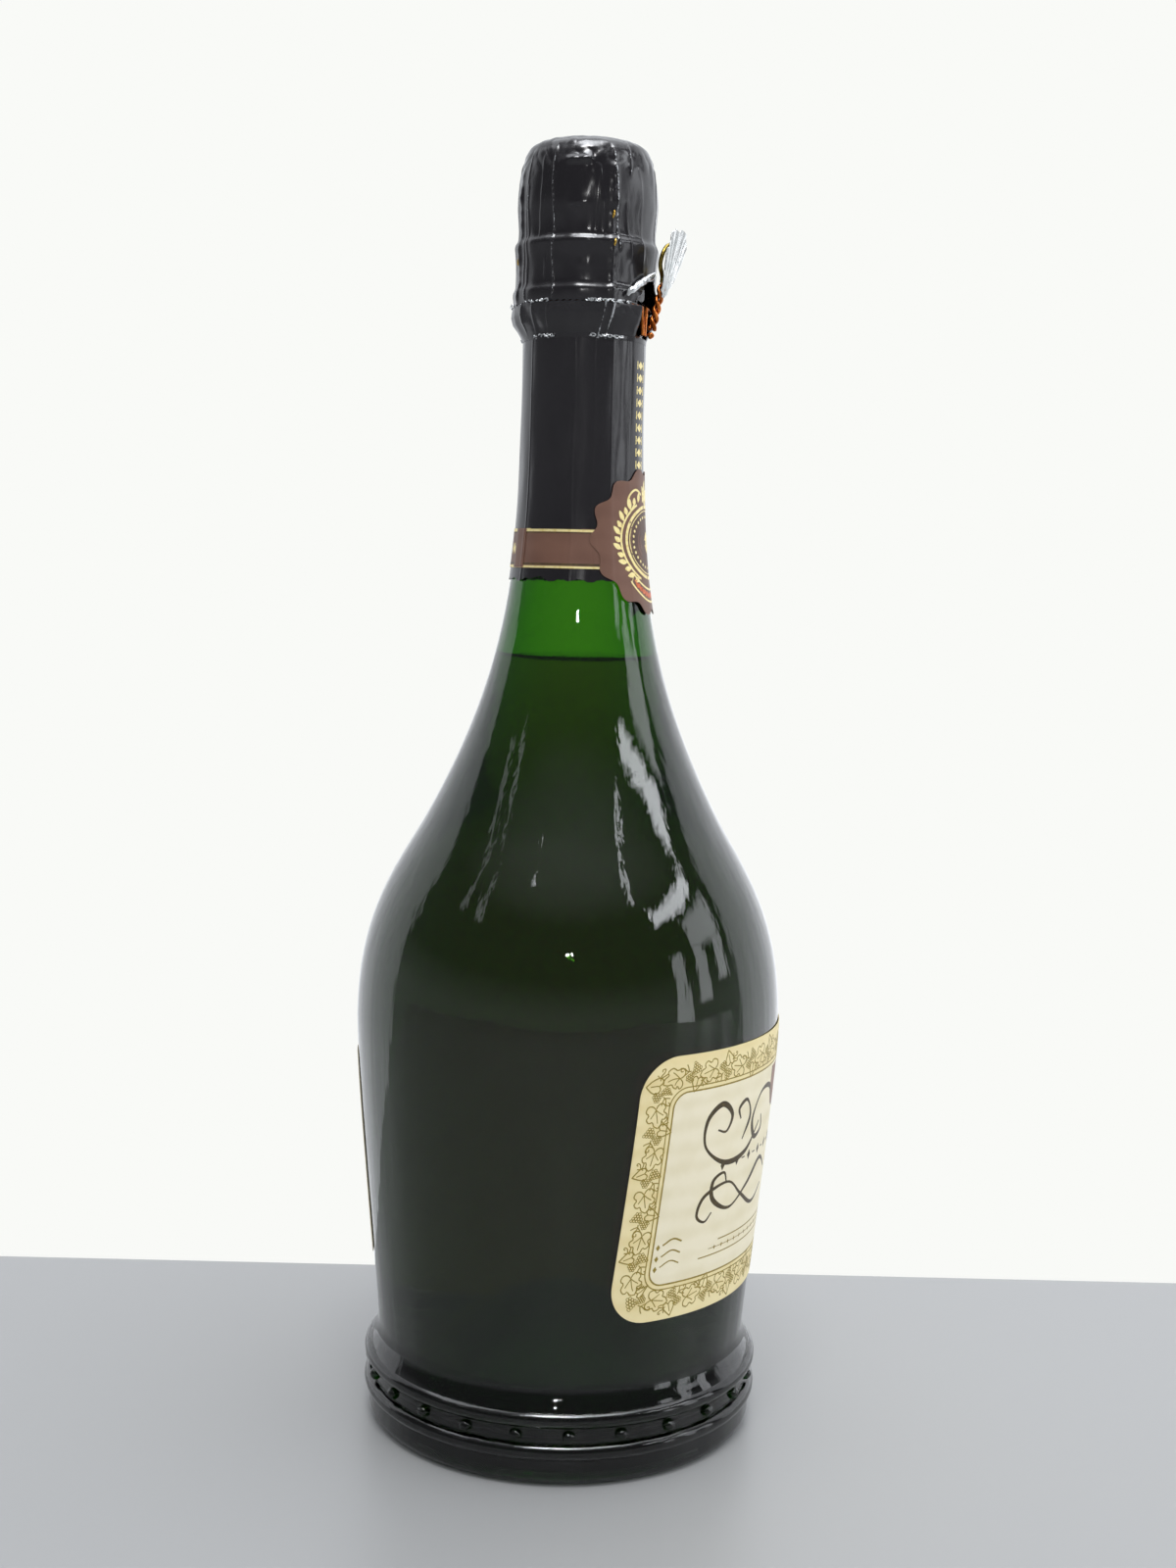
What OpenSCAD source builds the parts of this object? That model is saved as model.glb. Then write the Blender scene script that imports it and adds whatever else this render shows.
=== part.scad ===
// Sparkling wine bottle, 0.75 litre, corked, wired and foiled.
// Millimetres. +Z is up, the origin is at the middle of the base, and the front label faces -Y.

/* [Glass body] */
// Largest diameter of the body
body_d = 98.4; // [94:0.2:102]
// Height at which the body is widest
body_z = 95.3; // [90:0.1:100]
// How much narrower the waist is than the body, on each side
waist_in = 5.95; // [4:0.05:8]
// Height of the waist above the foot ribs
waist_rise = 5.4; // [3.5:0.1:8]
// How much narrower the shoulder is where its curve turns over, on each side
shoulder_in = 15.3; // [13:0.1:17]
// Height where the shoulder's curve turns over
shoulder_z = 141.6; // [136:0.1:147]
// Lean of the shoulder there, from upright, in degrees
shoulder_lean = 28.3; // [25:0.1:32]
// Height where the shoulder has run out into the neck
neck_z = 243.4; // [236:0.1:245]
// Diameter of the glass neck
neck_d = 27.2; // [26.4:0.1:28]
// Height of the glass, up to its mouth
mouth_z = 271.5; // [269:0.1:276]
// Thickness of the glass wall
wall = 3.5; // [3:0.05:4.2]
// Bore of the mouth
bore_d = 17.6; // [17:0.1:18.4]
// Length of the bore
bore_len = 26; // [25.5:0.1:28]
// Height of the wine
fill_z = 177.7; // [150:0.1:200]

/* [Glass foot] */
// How far the foot band stands out from the waist
foot_out = 2.05; // [1:0.05:3]
// Rounding of the foot's lower edge
foot_round = 3; // [1.5:0.1:4]
// Height of the foot band
foot_h = 6.2; // [5:0.1:7]
// How far the two ribs stand out from the waist
rib_out = 3.15; // [2.3:0.05:4]
// Height of one rib
rib_h = 3.7; // [3:0.1:4.2]
// How far the band between the ribs stands out from the waist
bead_band_out = 1.45; // [0.8:0.05:1.9]
// Height of the band between the ribs
bead_band_h = 3.5; // [3:0.1:4.5]
// Diameter of one glass bead
bead_d = 2.8; // [2:0.1:3]
// How far a bead stands out of its band
bead_out = 1.5; // [1:0.1:1.8]
// Number of beads
bead_count = 24; // [12:1:36]
// Angle of the first bead from +X
bead_turn = -166.3; // [-180:0.1:180]
// Width of the ring that the bottle stands on
rest_w = 2.8; // [1.5:0.1:2.8]
// Height of the hollow under the base
punt_h = 32; // [20:0.5:40]
// Thickness of the glass over the hollow
base_wall = 4.5; // [4:0.1:7]

/* [Glass finish] */
// Height of the lip
lip_h = 5.6; // [5:0.1:6.5]
// Diameter of the lip
lip_d = 27.8; // [27:0.1:28.2]
// Height of the groove under the lip
groove_h = 2.9; // [2:0.1:3.5]
// Diameter of the groove under the lip
groove_d = 26.2; // [25:0.1:26.8]
// Height of the ring that the wire cage holds
ring_h = 4.6; // [4:0.1:5.2]
// Diameter of the ring that the wire cage holds
ring_d = 28.2; // [27.8:0.1:28.6]
// Height of the undercut below the ring
undercut_h = 3.2; // [3:0.1:4]
// Diameter of the undercut below the ring
undercut_d = 25.8; // [25:0.1:26.4]
// Height of the slope from the undercut to the neck
undercut_slope_h = 1.5; // [1:0.1:2]
// Rounding of the lip and the mouth
lip_round = 1; // [0.5:0.1:1.5]

/* [Cork] */
// Depth of the cork in the neck
cork_depth = 25; // [22:0.5:25.4]
// Thickness of one natural cork disc
cork_disc_h = 6; // [4:0.5:7]
// Diameter of the cork's head
cork_head_d = 30.4; // [29:0.1:30.6]
// Diameter of the cork's head under the cap
cork_top_d = 25.4; // [24:0.1:25.6]
// Height of the cork's head above the mouth
cork_head_h = 21.3; // [19:0.1:22]
// Radial clearance of the cork in the bore
cork_fit = 0.05; // [0.03:0.01:0.1]

/* [Wire cage] */
// Diameter of the wire in a leg
leg_wire_d = 0.7; // [0.5:0.05:0.8]
// Diameter of the belt, crown and loop wire
belt_wire_d = 1; // [0.8:0.05:1.1]
// Angle of the first leg from +X
leg_turn = -148.5; // [-180:0.5:180]
// How far the legs are pressed in at the cork's head
leg_press = 0.25; // [0:0.05:0.4]
// Diameter of the cap over the cork
cap_d = 27.4; // [26.8:0.1:27.6]
// Height of the cap's straight rim
cap_rim_h = 1.7; // [1:0.1:2.5]
// Rise of the cap's crown above its rim
cap_rise = 4.5; // [3.5:0.1:5.5]
// Thickness of the cap's sheet
cap_t = 0.3; // [0.2:0.05:0.4]
// Clearance between the cage and what it holds
cage_gap = 0.3; // [0.2:0.05:0.4]

/* [Pull loop] */
// Direction of the loop from +X
loop_turn = -103.5; // [-112:0.5:-95]
// Distance of the loop's hinge from the bottle's axis
loop_hinge_r = 16.1; // [15.9:0.1:17]
// Depth of the loop's hinge below the belt
loop_drop = 6; // [5:0.1:6.2]
// Lean of the loop away from the bottle, in degrees
loop_lean = 12.4; // [10:0.1:18]
// Diameter of the knuckle at the stem's root
root_d = 1.6; // [1.2:0.1:1.7]
// Length of the twisted stem, from the middle of its root
stem_len = 11.6; // [9:0.1:14]
// Length in which the stem's two wires turn once
stem_pitch = 4.4; // [3.5:0.1:6]
// Width of the loop over its wire
loop_w = 8.6; // [7:0.1:11]
// Length of the loop beyond the stem
loop_len = 9.4; // [8.6:0.1:13]
// Width of the foil scrap on the loop
scrap_w = 10; // [7:0.1:12]
// Length of the foil scrap on the loop
scrap_len = 15.2; // [10:0.1:18]

/* [Foil] */
// Thickness of the foil with its lacquer
foil_t = 0.22; // [0.15:0.01:0.3]
// Height of the foil's lower edge
foil_z = 196.3; // [190:0.1:215]
// Depth of the lower perforation below the belt
strip_bottom_drop = 7.7; // [7.2:0.1:9]
// Depth of the upper perforation below the belt
strip_top_drop = 0.3; // [0.2:0.05:0.6]
// Gap along the perforation under the hood
hood_slit = 0.3; // [0.2:0.05:0.4]
// Clearance between the hood and the cage
hood_gap = 0.5; // [0.4:0.05:0.8]
// Clearance between the hood and the cap
hood_cap_gap = 0.35; // [0.3:0.05:0.5]
// Half the width of the tear round the loop
tear_half_w = 4.2; // [4:0.1:6]
// Height of the tear in the hood above the belt
tear_h = 6; // [4:0.1:8]
// Diameter of the foil curled back along the tear
curl_d = 1.3; // [1:0.1:1.5]

/* [Labels] */
// Thickness of the paper
paper_t = 0.15; // [0.1:0.01:0.3]
// Clearance between a foil skin and what it is pressed on
glue_gap = 0.05; // [0.03:0.01:0.08]
// Clearance between a body label and the glass
label_gap = 0.15; // [0.05:0.01:0.2]
// Width of the front label round the glass
front_w = 104; // [80:0.5:110]
// Height of the front label
front_h = 60; // [50:0.5:64]
// Height of the front label's lower edge
front_z = 36.2; // [30:0.1:38]
// Corner radius of the front label
front_round = 9; // [3:0.5:15]
// Width of the back label round the glass
back_w = 34; // [25:0.5:60]
// Height of the back label
back_h = 48.6; // [30:0.2:60]
// Height of the back label's lower edge
back_z = 38; // [30:0.2:40]
// Corner radius of the back label
back_round = 4; // [2:0.5:8]
// Height of the neck band's lower edge
band_z = 198.8; // [197:0.1:203]
// Height of the neck band
band_h = 8.7; // [6:0.1:12]
// Width of the seal on the neck band, round the neck
seal_w = 38; // [25:0.5:42]
// Height of the seal
seal_h = 33.2; // [24:0.2:36]
// Height of the seal's middle
seal_z = 205.2; // [202:0.1:210]
// Number of scallops round the seal
seal_scallops = 14; // [8:1:20]
// Depth of a scallop
seal_scallop_h = 0.8; // [0.3:0.1:1.2]

/* [Hidden] */
$fn = 96;

// Handles of the glass outline's curves
waist_handle = 3;
body_handle_down = 12;
body_handle_up = 24.4;
shoulder_handle_down = 12.6;
shoulder_handle_up = 41;
neck_handle = 41;
// Points on each curve of an outline
curve_steps = 14;
arc_steps = 6;
// How far a cut runs past what it cuts
overrun = 1;

// Diameters and heights on the foot
waist_d = body_d - 2 * waist_in;
shoulder_d = body_d - 2 * shoulder_in;
foot_d = waist_d + 2 * foot_out;
rib_d = waist_d + 2 * rib_out;
bead_band_d = waist_d + 2 * bead_band_out;
// Inner diameter of the ring that the bottle stands on
rest_d = foot_d - 2 * (foot_round + rest_w);
low_rib_z = foot_h + rib_h / 2;
bead_z = foot_h + rib_h + bead_band_h / 2;
high_rib_z = foot_h + rib_h + bead_band_h + rib_h / 2;
waist_z = high_rib_z + rib_h / 2 + waist_rise;
// How far the foot's and the ribs' roundings turn
foot_reach_angle = 80;
rib_reach_angle = 72;
flare_reach_angle = 50;
flare_share = 0.4;
// Inside of the foot
heel_round = 6;
heel_wall = 7.5;
punt_crown_share = 0.42;
punt_skirt_share = 0.66;
punt_edge_w = 1.6;
// Slope into the bore
bore_slope_h = 2.1;

// Heights on the finish
lip_z = mouth_z - lip_h;
ring_top_z = lip_z - groove_h;
ring_z = ring_top_z - ring_h;
undercut_z = ring_z - undercut_h;
finish_slope = 0.6;
// Height of the belt, which leaves room for the eyelets under the ring
eyelet_fit = 0.05;
eyelet_r = belt_wire_d / 2 + eyelet_fit + leg_wire_d / 2;
belt_z = ring_z - eyelet_r - leg_wire_d / 2 - cage_gap / 2;
belt_r = undercut_d / 2 + cage_gap / 2 + eyelet_r + leg_wire_d / 2;

// Legs, each with a path given as [distance from the axis, height]
leg_count = 4;
pair_d = 2 * leg_wire_d;
leg_ring_r = ring_d / 2 + cage_gap + pair_d / 2;
leg_lip_r = lip_d / 2 + cage_gap + pair_d / 2;
leg_head_r = leg_lip_r - leg_press;
cork_top_z = mouth_z + cork_head_h;
cap_bottom_z = cork_top_z - cap_rise - cap_rim_h + cage_gap + cap_t;
crown_steep_share = 0.62;
crown_flat_share = 0.72;
crown_wire_z = cap_bottom_z - belt_wire_d / 2 - glue_gap;
crown_wire_r = cap_d / 2 - cap_t / 2;
leg_top = [crown_wire_r + leg_wire_d / 4, crown_wire_z - belt_wire_d / 2 - pair_d / 2 - glue_gap];
head_low_share = 0.24;
head_high_share = 0.48;
leg_path = [
    [leg_ring_r, ring_z + pair_d / 3],
    [leg_lip_r, mouth_z],
    [leg_head_r, mouth_z + head_low_share * cork_head_h],
    [leg_head_r, mouth_z + head_high_share * cork_head_h],
    leg_top];
leg_angles = [for (i = [0:leg_count - 1]) leg_turn + i * 360 / leg_count];

// Pull loop
loop_z = belt_z - loop_drop;
stem_start = root_d / 2 + cage_gap + belt_wire_d / 4;
stem_spread = 1.08;
stem_rings = 24;
loop_rise = 2.4;
wire_sides = 8;
leg_steps = 3;
leg_sides = 8;
loop_arc_r = loop_w / 2 - belt_wire_d / 2;
loop_arc_y = stem_len + loop_len - belt_wire_d - loop_arc_r;
belt_gap_angle = 20;
belt_rings = 40;
scrap_t = 0.3;
scrap_y = 8.4;
scrap_tip_share = 0.3;
scrap_waist_share = 0.7;

// Foil
strip_z = belt_z - strip_bottom_drop;
strip_top_z = belt_z - strip_top_drop;
hood_z = strip_top_z + hood_slit;
hood_belt_r = leg_ring_r + pair_d / 2 + hood_gap;
hood_lip_r = leg_lip_r + pair_d / 2 + hood_gap;
hood_head_r = max(leg_head_r + pair_d / 2, cork_head_d / 2) + hood_cap_gap;
curl_turn = 30;
curl_rings = 10;
curl_sides = 8;
curl_end_angle = 5.5;
curl_low_share = 0.25;
curl_high_share = 1.1;
curl_thin_share = 0.35;

function bezier(a, b, c, d, n = curve_steps) = [for (i = [0:n]) let (t = i / n, u = 1 - t)
    u * u * u * a + 3 * u * u * t * b + 3 * u * t * t * c + t * t * t * d];
function arc(centre, r, from, to, n = arc_steps) = [for (i = [0:n]) let (a = from + (to - from) * i / n)
    centre + r * [cos(a), sin(a)]];
function reversed(list) = [for (i = [len(list) - 1:-1:0]) list[i]];
function tail(list) = [for (i = [1:len(list) - 1]) list[i]];
// Left-hand normal of an outline at point i
function normal(list, i) = let (
    a = list[max(i - 1, 0)], b = list[min(i + 1, len(list) - 1)], d = b - a)
    [-d[1], d[0]] / norm(d);
function moved(list, by) = [for (i = [0:len(list) - 1]) list[i] + by * normal(list, i)];

// Glass outline from the waist to the neck
lean = [-sin(shoulder_lean), cos(shoulder_lean)];
function side_line() = let (
    waist = [waist_d / 2, waist_z],
    belly = [body_d / 2, body_z],
    turn = [shoulder_d / 2, shoulder_z],
    neck = [neck_d / 2, neck_z])
    concat(
        bezier(waist, waist + [0, waist_handle], belly - [0, body_handle_down], belly),
        tail(bezier(belly, belly + [0, body_handle_up], turn - shoulder_handle_down * lean, turn)),
        tail(bezier(turn, turn + shoulder_handle_up * lean, neck - [0, neck_handle], neck)));
side = side_line();
side_table = concat([for (p = side) [p[1], p[0]]], [[undercut_z - undercut_slope_h, neck_d / 2]]);
// Outer radius of the glass at a height between the waist and the undercut
function glass_r(z) = lookup(z, side_table);

function foot_line() = let (
    rib_c = rib_d / 2 - rib_h / 2,
    top_rib = arc([rib_c, high_rib_z], rib_h / 2, -rib_reach_angle, flare_reach_angle),
    last = top_rib[arc_steps],
    waist = [waist_d / 2, waist_z],
    drop = waist_z - last[1])
    concat(
        [[rest_d / 2, 0], [rest_d / 2 + rest_w, 0]],
        arc([foot_d / 2 - foot_round, foot_round], foot_round, -foot_reach_angle, 0),
        arc([rib_c, low_rib_z], rib_h / 2, -rib_reach_angle, rib_reach_angle),
        [[bead_band_d / 2, low_rib_z + rib_h / 2], [bead_band_d / 2, high_rib_z - rib_h / 2]],
        top_rib,
        tail(bezier(last, last + flare_share * [waist[0] - last[0], drop], waist - [0, drop / 2], waist,
            arc_steps)));

function finish_line() = [
    [neck_d / 2, undercut_z - undercut_slope_h],
    [undercut_d / 2, undercut_z],
    [undercut_d / 2, ring_z],
    [ring_d / 2 - finish_slope / 2, ring_z],
    [ring_d / 2, ring_z + finish_slope],
    [ring_d / 2, ring_top_z - finish_slope],
    [groove_d / 2, ring_top_z],
    [groove_d / 2, lip_z],
    [lip_d / 2, lip_z + finish_slope]];

function mouth_line() = concat(
    arc([lip_d / 2 - lip_round, mouth_z - lip_round], lip_round, 0, 90),
    [[bore_d / 2 + lip_round, mouth_z], [bore_d / 2, mouth_z - lip_round]]);

// Outline of the hollow inside the glass, from the bore down to the middle of the base
function cavity_line(inset) = let (
    thick = wall + inset,
    inner = moved(side, thick),
    heel = [inner[0][0] - heel_round, heel_wall + inset],
    top = punt_h + base_wall + inset,
    reach = rest_d / 2)
    concat(
        reversed(inner),
        arc(heel + [0, heel_round], heel_round, 0, -90),
        tail(bezier(heel, [reach * punt_skirt_share, heel[1]], [reach * punt_crown_share, top], [0, top])));

function punt_line() = let (
    reach = rest_d / 2 - punt_edge_w)
    concat(
        bezier([0, punt_h], [reach * punt_crown_share, punt_h], [reach * punt_skirt_share, punt_edge_w],
            [reach, punt_edge_w]));

module revolve(points) {
    rotate_extrude() polygon(points);
}

// Thin skin on the glass between two heights, gap away from it and thick millimetres through
module skin(low, high, gap, thick) {
    inside = [for (z = concat([low], [for (p = side) if (p[1] > low && p[1] < high) p[1]], [high]))
        [glass_r(z) + gap, z]];
    outside = [for (p = inside) p + [thick, 0]];
    revolve(concat(inside, reversed(outside)));
}

// Prism through the skin at the front, whose outline is given as [distance round the glass, height]
module round_cut(outline, gap) {
    rotate([90, 0, 0]) linear_extrude(height = body_d) polygon([for (p = outline)
        let (r = glass_r(p[1]) + gap) [r * sin(p[0] / r * 180 / PI), p[1]]]);
}

function rounded_outline(w, h, z, r) = let (x = w / 2 - r) concat(
    arc([x, z + r], r, -90, 0), arc([x, z + h - r], r, 0, 90),
    arc([-x, z + h - r], r, 90, 180), arc([-x, z + r], r, 180, 270));

// Tube along a path of points, with a radius for each point
module tube(path, radii, sides) {
    last = len(path) - 1;
    way = [for (i = [0:last]) let (d = path[min(i + 1, last)] - path[max(i - 1, 0)]) d / norm(d)];
    // Each ring's first direction is the ring before's, turned square to the path
    across = [for (i = 0, a = square_to(way[0], tube_start(way[0])); i <= last;
        i = i + 1, a = i > last ? a : square_to(way[i], a)) a];
    points = [for (i = [0:last], k = [0:sides - 1]) let (b = 360 * k / sides)
        path[i] + radii[i] * (cos(b) * across[i] + sin(b) * cross(way[i], across[i]))];
    polyhedron(points, concat(
        [[for (k = [sides - 1:-1:0]) k]],
        [[for (k = [0:sides - 1]) last * sides + k]],
        [for (i = [0:last - 1], k = [0:sides - 1]) let (a = i * sides, n = (k + 1) % sides)
            [a + k, a + sides + n, a + sides + k]],
        [for (i = [0:last - 1], k = [0:sides - 1]) let (a = i * sides, n = (k + 1) % sides)
            [a + k, a + n, a + sides + n]]));
}

function square_to(way, a) = let (b = a - (a * way) * way) b / norm(b);
function tube_start(way) = abs(way[2]) < 0.9 ? [0, 0, 1] : [1, 0, 0];
function same(value, list) = [for (p = list) value];

module bottle_glass() {
    color("#123d12") union() {
        revolve(concat(
            foot_line(), tail(side), finish_line(), mouth_line(),
            [[bore_d / 2, mouth_z - bore_len], [neck_d / 2 - wall, mouth_z - bore_len - bore_slope_h]],
            tail(cavity_line(0)), punt_line()));
        for (i = [0:bead_count - 1])
            rotate(bead_turn + i * 360 / bead_count)
                translate([bead_band_d / 2 + bead_out - bead_d / 2, 0, bead_z])
                    sphere(d = bead_d, $fn = 32);
    }
}

module wine() {
    color("#8a9a2a") intersection() {
        revolve(concat([[0, neck_z]], cavity_line(glue_gap)));
        cylinder(h = fill_z, d = body_d);
    }
}

module cork_body() {
    shank_r = bore_d / 2 - cork_fit;
    seat_r = lip_d / 2 - 2 * lip_round;
    head_r = cork_head_d / 2;
    top_r = cork_top_d / 2;
    belly_z = mouth_z + head_low_share * cork_head_h;
    waist_z = mouth_z + head_high_share * cork_head_h;
    neck_z = crown_wire_z - belt_wire_d;
    low_z = mouth_z - cork_depth + 2 * cork_disc_h;
    color("#c69c6d") difference() {
        revolve(concat(
            [[0, low_z], [shank_r, low_z], [shank_r, mouth_z], [seat_r, mouth_z]],
            tail(bezier([seat_r, mouth_z], [head_r, mouth_z], [head_r, belly_z], [head_r, belly_z])),
            tail(bezier([head_r, waist_z], [head_r, waist_z + belt_wire_d],
                [top_r, neck_z - belt_wire_d], [top_r, neck_z])),
            crown_line(top_r, cork_top_z - cap_rise, cork_top_z)));
        for (a = leg_angles) rotate(a) leg_slot();
    }
}

// Slot that a leg presses into the cork's head, open outwards
module leg_slot() {
    w = pair_d + 2 * cage_gap;
    inside = [for (p = leg_path) p - [w / 2, 0]];
    out = cork_head_d;
    rotate([90, 0, 0]) translate([0, 0, -w / 2]) linear_extrude(height = w) polygon(concat(
        inside, [inside[4] + [0, pair_d], [out, inside[4][1] + pair_d], [out, inside[0][1]]]));
}

module cork_disc(low_z) {
    translate([0, 0, low_z]) cylinder(h = cork_disc_h, r = bore_d / 2 - cork_fit);
}

module cork_disc_upper() {
    color("#d9b98c") cork_disc(mouth_z - cork_depth + cork_disc_h);
}

module cork_disc_lower() {
    color("#d2ae7c") cork_disc(mouth_z - cork_depth);
}

// Domed outline from a rim up to the middle of its crown
function crown_line(r, rim, top) =
    bezier([r, rim], [r, rim + crown_steep_share * (top - rim)], [crown_flat_share * r, top], [0, top]);

// Outline of the cap's sheet, grown by a distance
function cap_line(by) = let (
    r = cap_d / 2 + by,
    rim = cap_bottom_z + cap_rim_h)
    concat([[r, cap_bottom_z]], crown_line(r, rim, rim + cap_rise + by));

module cage_cap() {
    color("#c9a227") revolve(concat(cap_line(0), reversed(cap_line(-cap_t))));
}

module ring_wire(r, z, d) {
    translate([0, 0, z]) rotate_extrude() translate([r, 0]) circle(d = d, $fn = 32);
}

module cage_crown_wire() {
    color("#a97f3a") ring_wire(crown_wire_r - leg_wire_d / 4, crown_wire_z, belt_wire_d);
}

module cage_leg(i) {
    path = [for (k = [0:len(leg_path) - 2], t = [0:leg_steps - 1])
        leg_path[k] + (leg_path[k + 1] - leg_path[k]) * t / leg_steps];
    points = [for (p = concat(path, [leg_top])) [p[0], 0, p[1]]];
    color("#b08a3c") rotate(leg_angles[i - 1]) tube(points, same(pair_d / 2, points), leg_sides);
}

module cage_leg_1() {
    cage_leg(1);
}

module cage_leg_2() {
    cage_leg(2);
}

module cage_leg_3() {
    cage_leg(3);
}

module cage_leg_4() {
    cage_leg(4);
}

module leg_eyelets() {
    color("#b08a3c") for (a = leg_angles)
        rotate(a) translate([belt_r, 0, belt_z]) rotate([90, 0, 0])
            rotate_extrude() translate([eyelet_r, 0]) circle(d = leg_wire_d, $fn = 24);
}

// The belt runs round under the ring, and its two ends drop side by side to the stem's root
module cage_belt() {
    tip = [belt_r, belt_wire_d / 2 + glue_gap, loop_z];
    start = [belt_r * cos(belt_gap_angle), belt_r * sin(belt_gap_angle), belt_z];
    drop = [0, 0, belt_z - loop_z];
    ring = [for (i = [1:belt_rings - 1])
        let (a = belt_gap_angle + (360 - 2 * belt_gap_angle) * i / belt_rings)
        [belt_r * cos(a), belt_r * sin(a), belt_z]];
    end = bezier(tip, tip + drop / 2, start - drop / 3, start, arc_steps);
    path = concat(end, ring, reversed([for (p = end) [p[0], -p[1], p[2]]]));
    color("#a97f3a") rotate(loop_turn) tube(path, same(belt_wire_d / 2, path), wire_sides);
}

// Knuckle that the stem turns and swings about
module stem_root() {
    color("#a4632e") rotate(loop_turn) translate([loop_hinge_r, 0, loop_z]) sphere(d = root_d, $fn = 32);
}

// Places the loop's own frame: +Y along the stem, +Z away from the bottle
module at_loop() {
    rotate(loop_turn) translate([loop_hinge_r, 0, loop_z]) rotate([0, loop_lean, 0])
        rotate([90, 0, 90]) children();
}

// One wire: up the stem as a helix, round the loop and back down the stem
module pull_loop() {
    offset_r = belt_wire_d / 2 * stem_spread;
    twisted_len = stem_len - stem_start;
    turns = twisted_len / stem_pitch;
    strand = [for (i = [0:stem_rings]) let (t = i / stem_rings, a = 360 * turns * (t - 1))
        [offset_r * cos(a), stem_start + twisted_len * t, offset_r * sin(a)]];
    loop = bezier([offset_r, stem_len, 0], [offset_r, stem_len + loop_rise, 0],
        [loop_arc_r, loop_arc_y - loop_rise, 0], [loop_arc_r, loop_arc_y, 0], arc_steps);
    bow = [for (p = arc([0, loop_arc_y], loop_arc_r, 0, 90, arc_steps)) [p[0], p[1], 0]];
    half = concat(strand, tail(loop), tail(bow));
    wire = concat(half, tail(reversed([for (p = half) [-p[0], p[1], -p[2]]])));
    color("#a4632e") at_loop() tube(wire, same(belt_wire_d / 2, wire), wire_sides);
}

// Leaf-shaped scrap of torn foil that clings to the loop's outer face
module loop_scrap() {
    half = scrap_w / 2;
    color("#c9ccd0") at_loop() translate([0, scrap_y, belt_wire_d * stem_spread + glue_gap])
        linear_extrude(height = scrap_t) polygon([
            [-half * scrap_tip_share, 0], [0, -scrap_t], [half * scrap_tip_share, scrap_t],
            [half * scrap_waist_share, scrap_len * 0.18], [half, scrap_len * 0.45],
            [half * 0.9, scrap_len * 0.75], [half * 0.45, scrap_len * 0.95],
            [0, scrap_len], [-half * 0.5, scrap_len * 0.93], [-half * 0.92, scrap_len * 0.72],
            [-half, scrap_len * 0.42], [-half * 0.75, scrap_len * 0.15]]);
}

// Inner outline of the hood, from its lower edge to its crown
function hood_line() = let (
    cap = cap_line(hood_cap_gap),
    low = [hood_belt_r, hood_z],
    lip = [hood_lip_r, mouth_z],
    head = [hood_head_r, mouth_z + head_low_share * cork_head_h],
    head_top = [hood_head_r, mouth_z + head_high_share * cork_head_h],
    rim = [max(cap[1][0], crown_wire_r + belt_wire_d / 2 + hood_cap_gap), crown_wire_z])
    concat(
        [low, [hood_belt_r, ring_top_z]],
        [lip],
        tail(bezier(lip, lip + [0, head[1] - lip[1]] / 2, head - [0, head[1] - lip[1]] / 2, head, arc_steps)),
        tail(bezier(head_top, head_top + [0, rim[1] - head_top[1]] / 2, rim - [0, rim[1] - head_top[1]] / 3,
            rim, arc_steps)),
        tail(cap));

// Ragged tear round the loop, as [distance sideways, height]
function tear_outline() = [
    [-1.9 * tear_half_w, hood_z - overrun], [-1.8 * tear_half_w, hood_z],
    [-1.1 * tear_half_w, hood_z + 0.45 * tear_h], [-0.4 * tear_half_w, hood_z + 0.92 * tear_h],
    [0.35 * tear_half_w, hood_z + tear_h], [1.05 * tear_half_w, hood_z + 0.6 * tear_h],
    [1.3 * tear_half_w, hood_z - overrun]];

module foil_hood() {
    inside = hood_line();
    top = len(inside) - 1;
    outside = concat([for (i = [0:top - 1]) inside[i] - foil_t * (i == 0 ? [-1, 0] : normal(inside, i))],
        [inside[top] + [0, foil_t]]);
    color("#17181a") difference() {
        revolve(concat(reversed(inside), outside));
        rotate(loop_turn) rotate([90, 0, 90]) linear_extrude(height = hood_belt_r + overrun)
            polygon(tear_outline());
    }
}

// Foil curled back along the left side of the tear
module torn_curl() {
    r = hood_belt_r + foil_t + curl_d / 2 + glue_gap;
    path = [for (i = [0:curl_rings])
        let (t = i / curl_rings, a = -curl_turn * (1 - t) - curl_end_angle, rise = curl_high_share * t)
        [r * cos(a), r * sin(a), hood_z + tear_h * (curl_low_share * (1 - t) + rise)]];
    radii = [for (i = [0:curl_rings]) curl_d / 2 * (curl_thin_share
        + (1 - curl_thin_share) * sin(180 * (i + 1) / (curl_rings + 2)))];
    color("#d8dadd") rotate(loop_turn) tube(path, radii, curl_sides);
}

module tear_strip() {
    neck_r = neck_d / 2 + glue_gap;
    rise = strip_top_z - strip_z;
    bulge = hood_belt_r - neck_r;
    inside = bezier([neck_r, strip_z], [neck_r, strip_z + 0.4 * rise],
        [neck_r + 0.9 * bulge, strip_z + 0.5 * rise], [neck_r + bulge, strip_top_z], arc_steps);
    color("#1c1d20") difference() {
        revolve(concat(inside, reversed([for (p = inside) p + [foil_t, 0]])));
        rotate(loop_turn) translate([0, -tear_half_w, loop_z - belt_wire_d / 2 - cage_gap])
            cube([hood_belt_r + overrun, 2 * tear_half_w, rise + overrun]);
    }
}

module neck_foil() {
    color("#17181a") skin(foil_z, strip_z - glue_gap, glue_gap, foil_t);
}

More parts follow.
